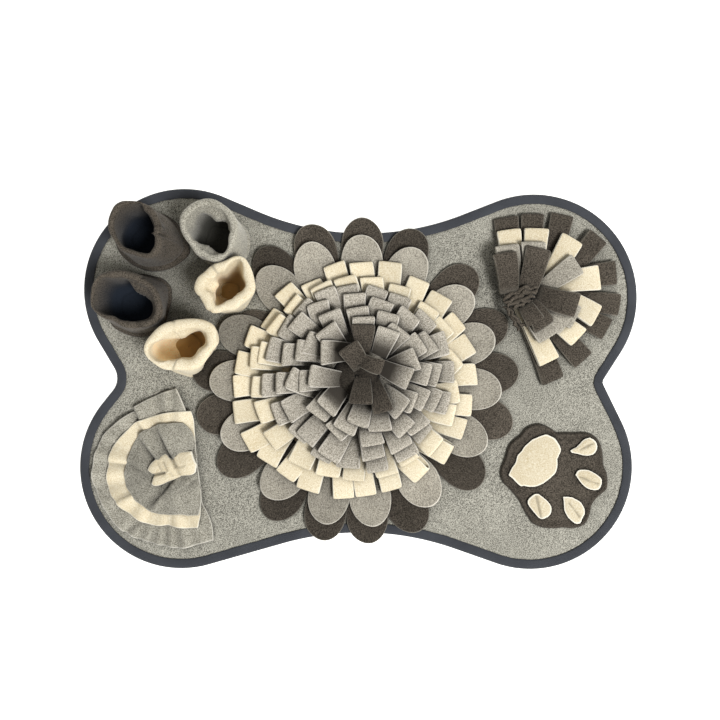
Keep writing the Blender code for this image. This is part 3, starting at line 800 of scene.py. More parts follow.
# %% How loops differ
# the low and the high end of a draw for each loop of a row
FOLD_SPREAD, LENGTH_SPREAD, WIDTH_SPREAD = (0.85, 1.2), (0.95, 1.06), (0.93, 1.06)
BELLY, ARCH, NOD = (0.2, 1.4), (2.0, 6.0), (-0.5, 3.0)  # the middle line's bends, up and down
SLOPE_SPREAD, HEIGHT_SPREAD = (0.85, 1.15), (-0.8, 0.8)
TRIM, SWAY = (0.4, 1.2), (-2.0, 2.0)  # corners cut short, and a bend to one side
TIP_ROLL, ROOT_ROLL = (-7, 7), (-5, 5)
ARC_ACROSS, SIDES_UP = (-0.9, 1.6), (-0.4, 0.9)
TONE_SPREAD = (0.9, 1.05)
FADE_FROM, FADE_RATE = 0.1, 3.0  # of the way to the root
print("a loop's length may be, mm:", [round(CREAM_ROWS[0].length * share, 1) for share in LENGTH_SPREAD])


# %% A row of loops
def loops(row, centre, seed, rolls=None, opens=None, fades=None, width=LOOP_WIDTH, shade=0.0):
    """All loops of a row, as sheets indexed (loop, step along the path, step across, axis).

    The middle line drops by the slope, and more by the square of its share. Roll turns each section
    about the heading, bow and curl bend it, and pinch narrows it towards the root. Each of these is
    drawn anew for every loop. rolls, opens and fades change single loops, by their number.
    """
    random = np.random.default_rng(seed)
    # a tip without a length or a width of its own takes the row's
    own = [(*tip, *(row.length, width)[len(tip) - 3:]) for tip in row.tips]
    angle, reach, turn, long, wide = np.array(own, float).T[..., None, None]

    def each(low, high):
        """One even draw between low and high for each loop of the row."""
        return random.uniform(low, high, len(angle))[:, None, None]

    fold = FOLD * each(*FOLD_SPREAD)
    for number, extra in (opens or {}).items():
        fold[number] += extra
    length = long * each(*LENGTH_SPREAD)
    back, lift = path(fold, length, each(*BELLY))
    share = np.clip(back / length, 0, 1)
    slope = np.tan(math.radians(row.slope) * each(*SLOPE_SPREAD))
    arch, nod = each(*ARCH), each(*NOD)
    drop = back * slope + arch * share ** 2 + nod * (1 - share) ** 3
    local = np.arctan(slope + 2 * arch * share / length)
    spot = LOOP_ACROSS[None, None, :]
    half = wide / 2 * each(*WIDTH_SPREAD) * (1 - row.pinch * share ** 1.3)
    trim = each(*TRIM) * np.abs(spot) ** 9 * (1 - share) ** 4
    side = spot * half + each(*SWAY) * share * (1 - share) * 4
    roll = np.radians(each(*TIP_ROLL) * (1 - share) + each(*ROOT_ROLL) * share)
    for number, degrees in (rolls or {}).items():
        roll[number] += np.radians(degrees) * (1 - 0.4 * share[number])
    bow = each(*ARC_ACROSS) * (1 - spot * spot) * (0.4 + share)
    high = lift + bow + each(*SIDES_UP) * np.abs(spot) ** 3
    across = side * np.cos(roll) - high * np.sin(roll)
    up = side * np.sin(roll) + high * np.cos(roll)
    out = -back - trim - up * np.sin(local)
    rise = stopped(row.height + each(*HEIGHT_SPREAD) - drop + up * np.cos(local))
    angle, heading = np.radians(angle), np.radians(angle + turn)
    grid = np.stack((
        centre[0] + reach * np.cos(angle) + out * np.cos(heading) - across * np.sin(heading),
        centre[1] + reach * np.sin(angle) + out * np.sin(heading) + across * np.cos(heading),
        rise), -1)
    # painted shade: a loop darkens towards its root, under the row above it
    tone = row.tone * each(*TONE_SPREAD) * (1 - shade * share ** 1.2)
    fade = np.zeros_like(share)
    for number, amount in (fades or {}).items():
        fade[number] = np.clip(amount * (share[number] - FADE_FROM) * FADE_RATE, 0, 1)
    return grid, tone * np.ones_like(out), fade * np.ones_like(out)


print("a row of cream loops as a grid:", loops(CREAM_ROWS[0], DOME_BASE, 1)[0].shape)


# %% The heading of a strip
def heading_band(profile, centre_at):
    """The heading of a strip: rings from the mat up, and in over the next turn, as one surface.

    The profile holds a radius and a height for each ring, and centre_at gives a height's middle.
    """
    angle = np.radians(np.arange(0, 360, 5.0))
    rings = []
    for radius, height in profile:
        x, y = centre_at(height)
        rings.append(np.column_stack((x + radius * np.cos(angle), y + radius * np.sin(angle),
                                      np.full(len(angle), height))))
    return np.stack(rings)[::-1]


print("a heading's grid:", heading_band(((80, 5), (60, 9)), lean_at).shape)

# %% The dome's strips
Strip = namedtuple("Strip", "name material slot rows rings seed rolls opens fades shade edge heading")
# for some loops of a row: how far each is rolled over, pulled open or turned to the second colour
# towards its root, as painted shade
CREAM_ROLLS = {0: {10: 24, 9: 16, 0: 8}, 1: {9: 20, 8: 12}}
CREAM_OPENS = {0: {10: 4.5, 9: 3.0}, 1: {9: 2.0}}
GREY_ROOT_SHADES = {2: {0: 0.5, 1: 0.5, 2: 0.6, 4: 0.4, 9: 0.5, 10: 0.5, 14: 0.6},
              3: {0: 0.7, 1: 0.8, 2: 0.9, 3: 0.9, 5: 0.5, 6: 0.6, 7: 0.6, 8: 0.5, 9: 1.5, 10: 0.9, 11: 2.2}}
# the last three values are the painted shade at a loop's root, its cut edge's painted highlight,
# and its heading's tone and fade, painted shade on the band under the loops
DOME = (
    Strip("rosette_cream", CREAM, "cream_fleece", CREAM_ROWS,
          ((106, 5.0), (105, 10.0), (96, 12.0), (88, 15.0), (82, 17.0)), 21,
          CREAM_ROLLS, CREAM_OPENS, {}, 0.2, 0.6, (0.9, 0.6)),
    Strip("rosette_grey", LOOP_GREY, "light_grey_fleece", GREY_ROWS,
          ((84, 15.0), (78, 19.0), (64, 23.0), (52, 26.0), (38, 29.0), (30, 30.0)), 34,
          {}, {}, GREY_ROOT_SHADES, 0.36, 0.6, (0.4, 0.0)),
    Strip("rosette_dark", CHARCOAL, "charcoal_fleece", DARK_ROWS,
          ((31, 26.0), (24, 31.0), (9, 34.0), (3, 34.5)), 55,
          {}, {}, {}, 0.35, 0.15, (0.4, 0.0)),
)
print("rows of loops in the dome:", sum(len(strip.rows) for strip in DOME))

# %% The dome
for strip in DOME:
    cloths = []
    for number, row in enumerate(strip.rows):
        grid, tone, fade = loops(row, lean_at(row.height), strip.seed + number,
                                 strip.rolls.get(number), strip.opens.get(number),
                                 strip.fades.get(number), shade=strip.shade)
        cloths.append(shell(grid, tone=tone, fade=fade, edge=strip.edge))
    tone, fade = strip.heading
    cloths.append(shell(heading_band(strip.rings, lean_at), wrap_columns=True, tone=tone, fade=fade,
                        edge=0.0))
    sew(f"{strip.name}_loops", cloths, strip.material, [strip.name])

# %% [markdown]
# ## The fan
# Four strips of loops share one gathered heading and open like a hand of cards. The lowest is
# charcoal and reaches furthest, then come cream, grey, and charcoal again on top. The dome's loops
# serve here too, only longer. The heading could be crumpled by a simulation, but it shows as a few
# puffed ridges side by side, so each ridge is half an ellipse carried along a wavy path.

# %% The fan's loops
FAN_CENTRE = np.array((197.0, 97.0))
FAN_LOOP_WIDTH = 28.5
FanRow = namedtuple("FanRow", "name material slot edge row")
FAN_ROWS = (
    FanRow("fan_dark_outer", CHARCOAL, "charcoal_fleece", 0.25, LoopRow(9.5, 1, 92, 0.3, 1.0, (
        (96, 109, 2), (79, 115, 11), (62, 127, 16), (39, 135, 13), (17, 133, -12), (-1, 131, -9),
        (-16, 120, -11), (-40, 112, -8), (-64, 109, -2)))),
    FanRow("fan_cream", CREAM, "cream_fleece", 0.6, LoopRow(18.0, 3, 78, 0.4, 1.0, (
        (96, 92, 1), (75, 96, 13), (49, 107, 9), (17, 109, -9), (-10, 101, -20), (-29, 90, -13),
        (-61, 84, -3)))),
    FanRow("fan_grey", LIGHT_GREY, "light_grey_fleece", 0.6, LoopRow(26.0, 6, 62, 0.45, 1.0, (
        (101, 72, -4), (76, 77, 14), (33, 88, 2), (-15, 75, -12), (-27, 66, -11), (-49, 58, -9)))),
    FanRow("fan_dark_inner", CHARCOAL, "charcoal_fleece", 0.25, LoopRow(33.0, 10, 50, 0.2, 1.05, (
        (-45, 44, -12, 38), (-52, 33, -10, 24, 23), (107, 63, -8, 50), (70, 71, 6, 52),
        (-4, 71, -13, 48)))),
)
print("loops in the fan:", [len(strip.row.tips) for strip in FAN_ROWS])

# %% The gathered heading
GATHER_PLY = 1.6
Gather = namedtuple("Gather", "half rise level path")  # path: x, y about the fan's centre
GATHERS = (
    Gather(3.2, 3.0, 26, ((-19, 3), (-9, 9), (0.6, 13), (8.4, 18), (16.2, 17), (25, 18.5))),
    Gather(3.4, 3.4, 27, ((-17, -1.5), (-8, 3), (-1.4, 6), (6.5, 11.2), (16, 12), (24, 14.5))),
    Gather(3.0, 3.2, 28, ((-14, -5), (-6, -1), (2, 1.5), (10.4, 5.3), (20, 8))),
    Gather(2.6, 2.6, 27, ((-10, -8), (-2.3, -5), (8.4, 0), (18.2, 3.3))),
    Gather(2.8, 3.0, 25, ((-16.5, -4), (-12, -10), (-8, -17), (-3, -26), (1, -35))),
    Gather(2.4, 2.6, 27, ((-11, -7), (-6.5, -15), (-1, -23), (6, -28), (13, -28))),
)

print("ridges in the fan's heading:", len(GATHERS))


# %% Smooth lines
def cubic(t, start, end, leave, arrive):
    """A cubic piece from start to end whose slopes there are leave and arrive."""
    return ((1 + 2 * t) * (1 - t) ** 2 * start + t * (1 - t) ** 2 * leave
            + t * t * (3 - 2 * t) * end + t * t * (t - 1) * arrive)


def curve(points, steps):
    """An open smooth line through points: cubic pieces whose slope is the mean of both steps."""
    points = np.array(points, float)
    slope = np.gradient(points, axis=0)
    at = np.linspace(0, len(points) - 1, steps)
    low = np.minimum(at.astype(int), len(points) - 2)
    return cubic((at - low)[:, None], points[low], points[low + 1], slope[low], slope[low + 1])


print("halfway along a line through 0, 2 and 8:", curve(((0,), (2,), (8,)), 5)[1].round(2))


# %% A gathered ridge
def gathered(size, seed):
    """A ridge of gathered cloth and its tone: half an ellipse across, along a wavy path.

    The path sways by two sines, and the ridge is widest halfway along it. Its tone is painted shade
    and light: dark at its sides, and lighter than the cloth along its top.
    """
    random = np.random.default_rng(seed)
    line = curve(size.path, 40)
    way = unit(np.gradient(line, axis=0))
    across = np.column_stack((-way[:, 1], way[:, 0]))
    s = np.linspace(0, 1, len(line))[:, None]
    sway = 0.9 * np.sin(s * 17 + random.uniform(0, 6.3)) + 0.5 * np.sin(s * 31 + random.uniform(0, 6.3))
    half = size.half * (0.75 + 0.35 * np.sin(math.pi * s)) * (1 + 0.15 * np.sin(s * 23 + seed))
    lift = size.level + 0.8 * np.sin(s * 14 + random.uniform(0, 6.3)) - 3 * (2 * s - 1) ** 4
    v = np.sin(np.linspace(-1, 1, 9) * math.pi / 2)[None]
    dome = np.sqrt(np.clip(1 - v * v, 0, 1)) * np.ones_like(s)
    place = FAN_CENTRE + line[:, None] + (sway + half * v)[..., None] * across[:, None]
    return np.concatenate((place, (lift + size.rise * dome)[..., None]), -1), 0.35 + 0.85 * dome


ridges = [shell(ridge, GATHER_PLY, tone=shade, edge=0.0)
          for ridge, shade in (gathered(size, 80 + n) for n, size in enumerate(GATHERS))]
print("points in the fan's heading:", sum(len(ridge.points) for ridge in ridges))

# %% The fan
for number, strip in enumerate(FAN_ROWS):
    grid, tone, fade = loops(strip.row, FAN_CENTRE, 70 + number, width=FAN_LOOP_WIDTH, shade=0.3)
    cloths = [shell(grid, tone=tone, fade=fade, edge=strip.edge)]
    if strip is FAN_ROWS[-1]:
        cloths += ridges
    sew(f"{strip.name}_loops", cloths, strip.material, [strip.name])

# %% [markdown]
# ## Cups
# A cup is a tube of doubled fleece, sewn down at its foot and soft at its folded rim. It could be
# turned from a profile, but hands have pushed its rim out of round. So the rim's outer and inner
# edges are small tables of angles and radii, with smooth curves through them. One surface goes up
# the outer wall, over the rim and down inside to the floor. Folds are soft troughs laid on it.
# Down inside, the colour turns to a painted shade, and narrow folds are painted darker.

# %% Cup sizes
# fade_from, fade_to: where the inner wall begins to turn to the second colour, a painted shade, and how far;
# glow: how much lighter the pale wall that faces the lamp is painted
CupCloth = namedtuple("CupCloth", "material slot rim_half fade_from fade_to glow")
DARK_CUP = CupCloth(CHARCOAL, "charcoal_fleece", 4.6, 1.12, 1.0, 0.0)
GREY_CUP = CupCloth(MID_GREY, "mid_grey_fleece", 4.6, 1.2, 1.0, 0.0)
CREAM_CUP = CupCloth(CREAM, "cream_fleece", 6.8, 1.35, 0.42, 0.7)
Fold = namedtuple("Fold", "angle span level reach depth")  # level 0 outer foot, 1 rim, 2 inner foot
# base and rim are places, and foot, outer and inner are rows of an angle and a radius
Cup = namedtuple("Cup", "name cloth base foot rim outer inner height folds seam tone")
CUPS = (
    Cup("cup_dark_back", DARK_CUP, (-259, 178),
        ((2, 42), (22, 37), (51, 33), (76, 33), (137, 40), (190, 44), (227, 41), (245, 38), (272, 37),
         (301, 41), (324, 44), (340, 47), (349, 46)), (-264, 178),
        ((16, 35), (37, 35), (56, 36), (80, 35), (95, 34), (111, 35), (124, 35), (136, 33), (153, 30),
         (171, 27), (192, 25), (217, 24), (242, 27), (259, 29), (277, 32), (295, 37), (306, 40),
         (321, 41), (338, 38), (356, 35)),
        ((6, 21), (39, 22), (60, 29), (69, 33), (83, 31), (106, 28), (126, 27), (150, 23), (181, 19),
         (220, 19), (249, 22), (273, 25), (292, 29), (308, 33), (325, 29), (350, 24)), 70,
        (Fold(24, 14, 0.75, 0.2, 5), Fold(350, 2.6, 0.93, 0.2, 3.2), Fold(26, 26, 0.78, 0.035, 2.8),
         Fold(345, 8, 0.6, 0.3, -2), Fold(300, 60, 0.13, 0.05, 3)), 350, 1.06),
    Cup("cup_grey", GREY_CUP, (-174, 178),
        ((0, 36), (60, 33), (120, 33), (180, 33), (240, 33), (290, 34), (324, 40), (340, 39)), (-174, 177),
        ((6, 35), (21, 35), (44, 35), (63, 35), (83, 36), (105, 37), (123, 39), (139, 40), (154, 39),
         (170, 35), (191, 31), (217, 29), (242, 31), (266, 33), (281, 36), (296, 37), (306, 36),
         (325, 35), (346, 34)),
        ((3, 24), (35, 26), (55, 28), (76, 28), (100, 28), (126, 30), (140, 29), (156, 26), (183, 22),
         (212, 21), (235, 16), (262, 14), (284, 22), (300, 30), (320, 29), (340, 25)), 68,
        (Fold(72, 36, 1.27, 0.14, 13), Fold(15, 15, 1.3, 0.2, 4), Fold(255, 6, 0.92, 0.2, 1.8)), 262, 1.02),
    Cup("cup_dark_front", DARK_CUP, (-277, 93),
        ((8, 40), (33, 45), (49, 45), (65, 42), (110, 38), (158, 38), (186, 38), (231, 37), (249, 37),
         (272, 36), (296, 36), (320, 37), (346, 37)), (-275, 95),
        ((11, 43), (25, 42), (38, 40), (54, 38), (73, 36), (88, 36), (103, 37), (121, 39), (134, 41),
         (147, 42), (162, 42), (175, 41), (188, 39), (202, 34), (221, 30), (248, 28), (272, 31),
         (295, 36), (315, 41), (331, 45), (342, 46), (356, 45)),
        ((3, 29), (14, 24), (35, 17), (55, 16), (71, 19), (88, 26), (116, 29), (135, 36), (149, 37),
         (167, 37), (187, 36), (212, 26), (230, 22), (248, 22), (279, 23), (305, 27), (326, 31),
         (346, 32)), 64,
        (Fold(40, 12, 0.8, 0.3, 3), Fold(52, 3, 0.95, 0.16, 2.6), Fold(26, 3, 0.9, 0.12, 1.8),
         Fold(330, 14, 0.5, 0.4, -2), Fold(300, 60, 0.13, 0.05, 2.5)), 20, 1.18),
    Cup("cup_cream_back", CREAM_CUP, (-161, 112),
        ((0, 26), (90, 26), (180, 26), (270, 26)), (-155, 112),
        ((13, 34), (31, 37), (44, 38), (59, 39), (73, 37), (91, 32), (119, 30), (144, 33), (160, 36),
         (175, 36), (186, 36), (199, 34), (219, 34), (231, 35), (248, 33), (268, 29), (288, 28),
         (310, 28), (328, 32), (341, 34)),
        ((13, 23), (40, 27), (54, 32), (64, 34), (75, 29), (92, 20), (115, 18), (136, 18), (163, 14),
         (195, 15), (222, 20), (240, 24), (255, 21), (267, 18), (285, 15), (307, 14), (338, 17),
         (356, 21)), 66,
        (Fold(95, 30, 1.7, 0.2, 3), Fold(150, 50, 1.3, 0.3, 2), Fold(236, 4, 0.98, 0.08, 1.8)), 200, 0.97),
    Cup("cup_cream_front", CREAM_CUP, (-212, 44),
        ((12, 31), (50, 30), (98, 30), (144, 34), (178, 36), (210, 35), (233, 37), (258, 35), (283, 37),
         (297, 35), (311, 31), (345, 31)), (-206, 41),
        ((7, 45), (19, 46), (33, 45), (46, 42), (62, 38), (84, 34), (112, 33), (135, 35), (157, 39),
         (172, 44), (184, 46), (197, 43), (209, 38), (228, 33), (249, 29), (278, 28), (299, 29),
         (320, 31), (340, 34), (352, 37)),
        ((7, 27), (16, 29), (31, 29), (47, 27), (60, 19), (75, 13), (100, 11), (126, 12), (150, 17),
         (165, 28), (174, 36), (186, 40), (200, 37), (213, 30), (228, 17), (250, 12), (277, 11),
         (309, 13), (332, 15), (356, 20)), 68,
        (Fold(100, 40, 1.2, 0.2, 1), Fold(15, 12, 0.97, 0.1, 3), Fold(108, 3, 1.0, 0.06, 2.4),
         Fold(90, 14, 1.1, 0.02, 1.6)), 112, 1.0),
)
print("cups and their heights, mm:", {size.name: size.height for size in CUPS})

# %% The rows of a cup
RIM_RISE = 5.0
WALL_WALK = 0.95  # of the walk from foot to rim; the rest is the rim's roll
OUTER_LEVELS = np.array((0.0, 0.03, 0.07, 0.12, 0.17, 0.24, 0.33, 0.43, 0.54, 0.65, 0.76, 0.86, 0.94, 1.0))
ROLL_STEPS = np.radians(np.arange(15, 180, 15))
FLOOR_SHARES = np.array((0.93, 0.8, 0.6, 0.4, 0.2, 0.03))[:, None, None]
CUP_COLUMNS = 144


def rows_of(outer, rim, inner):
    """Values for the rows of a cup: its outer wall, its rim and its inner wall, as a column."""
    return np.concatenate((outer, rim, inner))[:, None]


still = np.ones(len(OUTER_LEVELS))
roll_walk = np.linspace(0, 1, len(ROLL_STEPS) + 2)[1:-1] * 2 * (1 - WALL_WALK)
LEVEL = rows_of(OUTER_LEVELS, np.ones(len(ROLL_STEPS)), OUTER_LEVELS[::-1])
WALK = rows_of(OUTER_LEVELS * WALL_WALK, WALL_WALK + roll_walk, 2 - OUTER_LEVELS[::-1] * WALL_WALK)
ROUND_OUT = rows_of(still, np.cos(ROLL_STEPS), -still)
ROLL_UP = RIM_RISE * rows_of(0 * still, np.sin(ROLL_STEPS), 0 * still)
INSIDE = np.arange(len(WALK))[:, None] > len(OUTER_LEVELS) + len(ROLL_STEPS)
print("rows and columns of a cup:", len(WALK) + len(FLOOR_SHARES), CUP_COLUMNS)


# %% Curves round a cup
def off_angle(turn, angle):
    """The degrees from an angle to each turn, from -180 to 180."""
    return (turn - angle + 180) % 360 - 180


def closed_curve(table, angles):
    """A smooth closed curve through (degrees, value) rows: cubic pieces with central slopes."""
    at = np.radians([row[0] for row in table])
    value = np.array([row[1] for row in table], float)
    at = np.concatenate((at[-2:] - 2 * math.pi, at, at[:3] + 2 * math.pi))
    value = np.concatenate((value[-2:], value, value[:3]))
    slope = np.gradient(value, at)
    low = np.searchsorted(at, angles, side="right") - 1
    gap = at[low + 1] - at[low]
    return cubic((angles - at[low]) / gap, value[low], value[low + 1],
                 gap * slope[low], gap * slope[low + 1])


print("from 350 degrees to 10:", off_angle(10, 350), "and a round foot's radius at 30 degrees:",
      closed_curve(CUPS[3].foot, np.radians([30]))[0])

# %% A cup's walls
WALL = 7.6
THROAT = 0.76  # the level down the inner wall where the cup is narrowest
SPREAD_POWER = 0.8
CREASE_SPAN, CREASE_REACH = 5, 0.045  # a fold narrower or shorter than this is a crease, painted dark as shade
CREASE_SHADE = 0.5
SEAM_DEPTH, SEAM_WIDTH = 0.9, 1.3
RIPPLES = 7
NECK, NECK_LEVEL = 0.4, 0.3  # the inner wall narrows by this share, below this level
FOOT_SWELL, FOOT_TUCK = 2.2, 1.6  # the cloth swells where it is sewn down, and tucks in above that


def cup_walls(size, angles, random):
    """The radius of a cup at its rows and angles, and the painted shade of its narrow folds.

    The radius goes from the foot's to the rim's by a power of the level. Inside it is less by the
    wall, and by a funnel that grows as a sine down to the throat. A fold is a bell round the cup
    times a bell along the walk.
    """
    foot, outer, inner = (closed_curve(table, angles) for table in (size.foot, size.outer, size.inner))
    half = np.minimum((outer - inner) / 2, size.cloth.rim_half)
    crest, funnel = outer - half, outer - 2 * half - inner
    share = LEVEL ** SPREAD_POWER
    radius = (foot - INSIDE * WALL) * (1 - share) + (crest + half * ROUND_OUT) * share
    down = (1 - LEVEL) / (1 - THROAT)
    narrow = np.where(down < 1, np.sin(down * math.pi / 2), share / THROAT ** SPREAD_POWER)
    radius = (radius - INSIDE * funnel * narrow) * (1 - INSIDE * NECK * (1 - ramp(LEVEL, 0, NECK_LEVEL)) ** 2)
    turn = np.degrees(angles)
    dark = np.ones_like(radius)
    for fold in size.folds:
        trough = bell(off_angle(turn, fold.angle), fold.span) * bell(WALK - fold.level, fold.reach)
        radius = radius - fold.depth * trough
        if fold.span < CREASE_SPAN or fold.reach < CREASE_REACH:
            dark = dark * (1 - CREASE_SHADE * trough)
    seam = SEAM_DEPTH * bell(np.radians(off_angle(turn, size.seam)) * crest, SEAM_WIDTH)
    radius = radius - seam * np.where(INSIDE, -1, 1)
    for _ in range(RIPPLES):
        count, phase, amount = random.integers(2, 7), random.uniform(0, 6.3), random.uniform(0.2, 0.6)
        radius = radius + amount * np.sin(count * angles + phase + WALK * random.uniform(-4, 4))
    return radius + FOOT_SWELL * bell(WALK, 0.035) - FOOT_TUCK * bell(WALK - 0.1, 0.04), dark


print("folds on the cups:", [len(size.folds) for size in CUPS])

# %% A cup's tones
LIT_SIDE, LIT_SPAN = 172, 62  # the inner wall that faces the lamp, in degrees clockwise from +X
DEEPEST = 1.85  # the walk where the turn to the second colour, a painted shade, ends
GLOW_FROM, GLOW_FULL = 1.12, 1.32  # the walk where painted light, as light thrown back, begins, and is at its full
AWAY_RUN = 0.35  # of the walk, in which the walls away from the lamp turn to the painted shade


def cup_tones(size, angles, dark):
    """Tone and fade of a cup, painted shade and light. Down its inner wall it turns to the second
    colour, a painted shade, and its floor is all of it.

    On pale cloth the wall that faces the lamp is painted lighter, as light thrown back, and the
    other walls turn to the painted shade at once.
    """
    cloth = size.cloth
    lit = np.exp(-(off_angle(np.degrees(angles), LIT_SIDE) / LIT_SPAN) ** 4)[None]
    fade = ramp(WALK, cloth.fade_from, DEEPEST) * cloth.fade_to * np.ones_like(lit)
    lit_wall = ramp(WALK, GLOW_FROM, GLOW_FULL) * lit
    if cloth.glow:
        away = ramp(WALK, cloth.fade_from, cloth.fade_from + AWAY_RUN) * (1 - lit)
        fade = np.maximum(away + fade * lit, cloth.fade_to * lit_wall)
    floor = np.ones((len(FLOOR_SHARES), CUP_COLUMNS))
    tone = np.concatenate(((1 + cloth.glow * lit_wall) * dark, floor)) * size.tone
    return tone, np.concatenate((fade, floor))


print("the cups' tones:", [size.tone for size in CUPS])

# %% A cup
FLOOR_LOW, FLOOR_DOME = 2.6, 1.5
FLOOR_EDGE = 3.2


def cup(size, seed):
    """A cup's surface, tone and fade. Its middle goes from the base to the rim's place by level.

    The surface's columns are turned to run clockwise, so that it faces out, and the tones are laid
    on it in that order. So a crease's painted shade lies at the mirror angle of its trough.
    """
    angles = np.linspace(0, 2 * math.pi, CUP_COLUMNS, endpoint=False)
    radius, dark = cup_walls(size, angles, np.random.default_rng(seed))
    level = LEVEL[..., None]
    middle = np.array(size.base) * (1 - level) + np.array(size.rim) * level
    place = middle + radius[..., None] * np.stack((np.cos(angles), np.sin(angles)), -1)[None]
    height = ON_MAT + LEVEL * (size.height - RIM_RISE) + ROLL_UP + 0 * radius
    walls = np.concatenate((place, height[..., None]), -1)
    floor = walls[-1] * FLOOR_SHARES + walls[-1].mean(0) * (1 - FLOOR_SHARES)
    floor[..., 2] = ON_MAT + FLOOR_LOW + FLOOR_DOME * (1 - FLOOR_SHARES[..., 0])
    walls[-1, :, 2] = ON_MAT + FLOOR_EDGE
    tone, fade = cup_tones(size, angles, dark)
    return np.concatenate((walls, floor))[:, ::-1], tone, fade


print("a cup's grid:", cup(CUPS[0], 300)[0].shape)

# %% The cups
for number, size in enumerate(CUPS):
    grid, tone, fade = cup(size, 300 + number)
    sew(f"{size.name}_tube", [shell(grid, wrap_columns=True, tone=tone, fade=fade, edge=0.0)],
        size.cloth.material, [size.name])

# %% [markdown]
# ## The ruffled pocket
# The pocket is three half-round layers that share one gather, where the bow is sewn. Cloth that is
# drawn in to a gather can't lie flat: it waves along its edge, and its pleats lie over themselves
# on one side of a line. Gathering could be simulated, but the folds would fall where they like. So
# each layer is a star of spokes from the gather to a smooth outline, whose cut corners stay sharp.
# Waves grow along the spokes, and pleats are steps in height. Valleys are painted darker, as
# shade, since light hardly reaches them, and a pleat's ridge is painted lighter.

# %% Pocket layers
POCKET_PLACE = np.array((-235.0, -112.0))  # of its gather
Pleat = namedtuple("Pleat", "x1 y1 x2 y2 rise width")  # from the outer end, about the gather
Ruffle = namedtuple("Ruffle", "angle span period height")  # waves along the edge, in degrees and mm
Layer = namedtuple("Layer", "node cloth slot outline corners pleats ruffles seed")
LAYERS = (
    Layer("pocket_grey_back", MID_GREY, "mid_grey_fleece",
          ((8, 102), (-3, 99), (-16, 94), (-31, 87), (-45, 79), (-44, 74), (-52, 70), (-65, 61),
           (-77, 51), (-86, 40), (-92, 27), (-95, 14), (-97, 3), (-97, -8), (-94, -23), (-89, -37),
           (-80, -52), (-70, -65), (-58, -75), (-46, -83), (-35, -87), (-24, -91), (-11, -94),
           (3, -96), (14, -97), (25, -95), (37, -92), (53, -88), (52, -74), (49, -62), (44, -51),
           (39, -41), (37, -25), (31, 12), (25, 50), (19, 76), (14, 90)), (0, 4, 5, 27),
          (Pleat(-45, 79, -28, 40, 4.5, 11), Pleat(-58, -75, -34, -62, 2.6, 12),
           Pleat(-86, 40, -60, 30, 1.2, 14)),
          (Ruffle(262, 36, 19, 1.9), Ruffle(95, 22, 24, 1.2), Ruffle(170, 45, 30, 1.4)), 7),
    Layer("pocket_cream", CREAM, "cream_fleece",
          ((26, 74), (7, 73), (-8, 71), (-23, 67), (-34, 63), (-43, 60), (-53, 50), (-62, 41),
           (-71, 30), (-75, 20), (-76, 9), (-78, -4), (-78, -15), (-76, -25), (-72, -34), (-62, -44),
           (-51, -53), (-38, -62), (-29, -66), (-15, -69), (-4, -68), (7, -70), (22, -72), (35, -71),
           (37, -57), (38, -44), (38, -25), (33, 13), (31, 39), (30, 52), (29, 63)), (0, 23),
          (Pleat(-76, 12, -50, 8, 3.0, 9), Pleat(-66, -40, -44, -30, -3.0, 10),
           Pleat(-40, 62, -24, 40, 2.6, 8)),
          (Ruffle(190, 45, 30, 1.8), Ruffle(285, 25, 26, 1.1), Ruffle(100, 25, 28, 0.8)), 8),
    Layer("pocket_grey_front", MID_GREY, "mid_grey_fleece",
          ((17, 59), (8, 59), (-1, 58), (-13, 57), (-24, 52), (-33, 48), (-40, 40), (-44, 32),
           (-48, 24), (-51, 15), (-54, 4), (-55, -9), (-53, -19), (-49, -26), (-43, -35), (-33, -43),
           (-24, -49), (-13, -52), (0, -54), (15, -53), (23, -55), (36, -55), (39, -41), (39, -24),
           (36, -6), (34, 13), (32, 30), (29, 43), (24, 52)), (0, 21),
          (Pleat(-35, 42, -12, 13, 5.5, 13), Pleat(-12, 51, 6, 18, 5.5, 13),
           Pleat(9, -11, -18, -43, 5.0, 14), Pleat(18, -21, 29, -12, 3.0, 7),
           Pleat(-52, 12, -28, -2, 2.0, 16), Pleat(-8, -52, -6, -22, 1.6, 10)),
          (Ruffle(60, 30, 26, 1.2), Ruffle(250, 40, 30, 1.4)), 9),
)
BACK, FRONT = 0, 2
LAYER_STEP = 3.4
print("pleats in the pocket's layers:", [len(layer.pleats) for layer in LAYERS])


# %% Outlines through points
def smooth(points, corners=(), spacing=2.0):
    """A closed line through points: cubic pieces whose slope is the mean of both steps.

    At a corner each piece keeps its own step as its slope, so the corner stays sharp. The line has
    an even number of points.
    """
    points = np.array(points, float)
    after = np.roll(points, -1, 0) - points
    before = np.roll(after, 1, 0)
    leave, arrive = (after + before) / 2, (after + before) / 2
    corners = list(corners)
    leave[corners], arrive[corners] = after[corners], before[corners]
    pieces = []
    for start, end, away, home in zip(points, np.roll(points, -1, 0), leave, np.roll(arrive, -1, 0)):
        steps = max(2, round(np.linalg.norm(end - start) / spacing))
        pieces.append(cubic(np.linspace(0, 1, steps, endpoint=False)[:, None], start, end, away, home))
    line = np.concatenate(pieces)
    return line if len(line) % 2 == 0 else np.delete(line, 1, 0)


print("points of the layers' outlines:", [len(smooth(layer.outline, layer.corners)) for layer in LAYERS])


# %% Pleats
PLEAT_SOFT = 0.7  # how soft the step is across its line
UNDER_SINK, UNDER_RUN = 0.35, 6  # how far the cloth below the step sinks, and how far out
END_SOFT = 3
RISE_SHADED = 5  # a pleat as high as this, in mm, has its full shade


def step(value, width):
    """A smooth step from 0 to 1 round nothing: 1 by 1 plus e to the power of minus value by width."""
    return 1 / (1 + np.exp(-value / width))


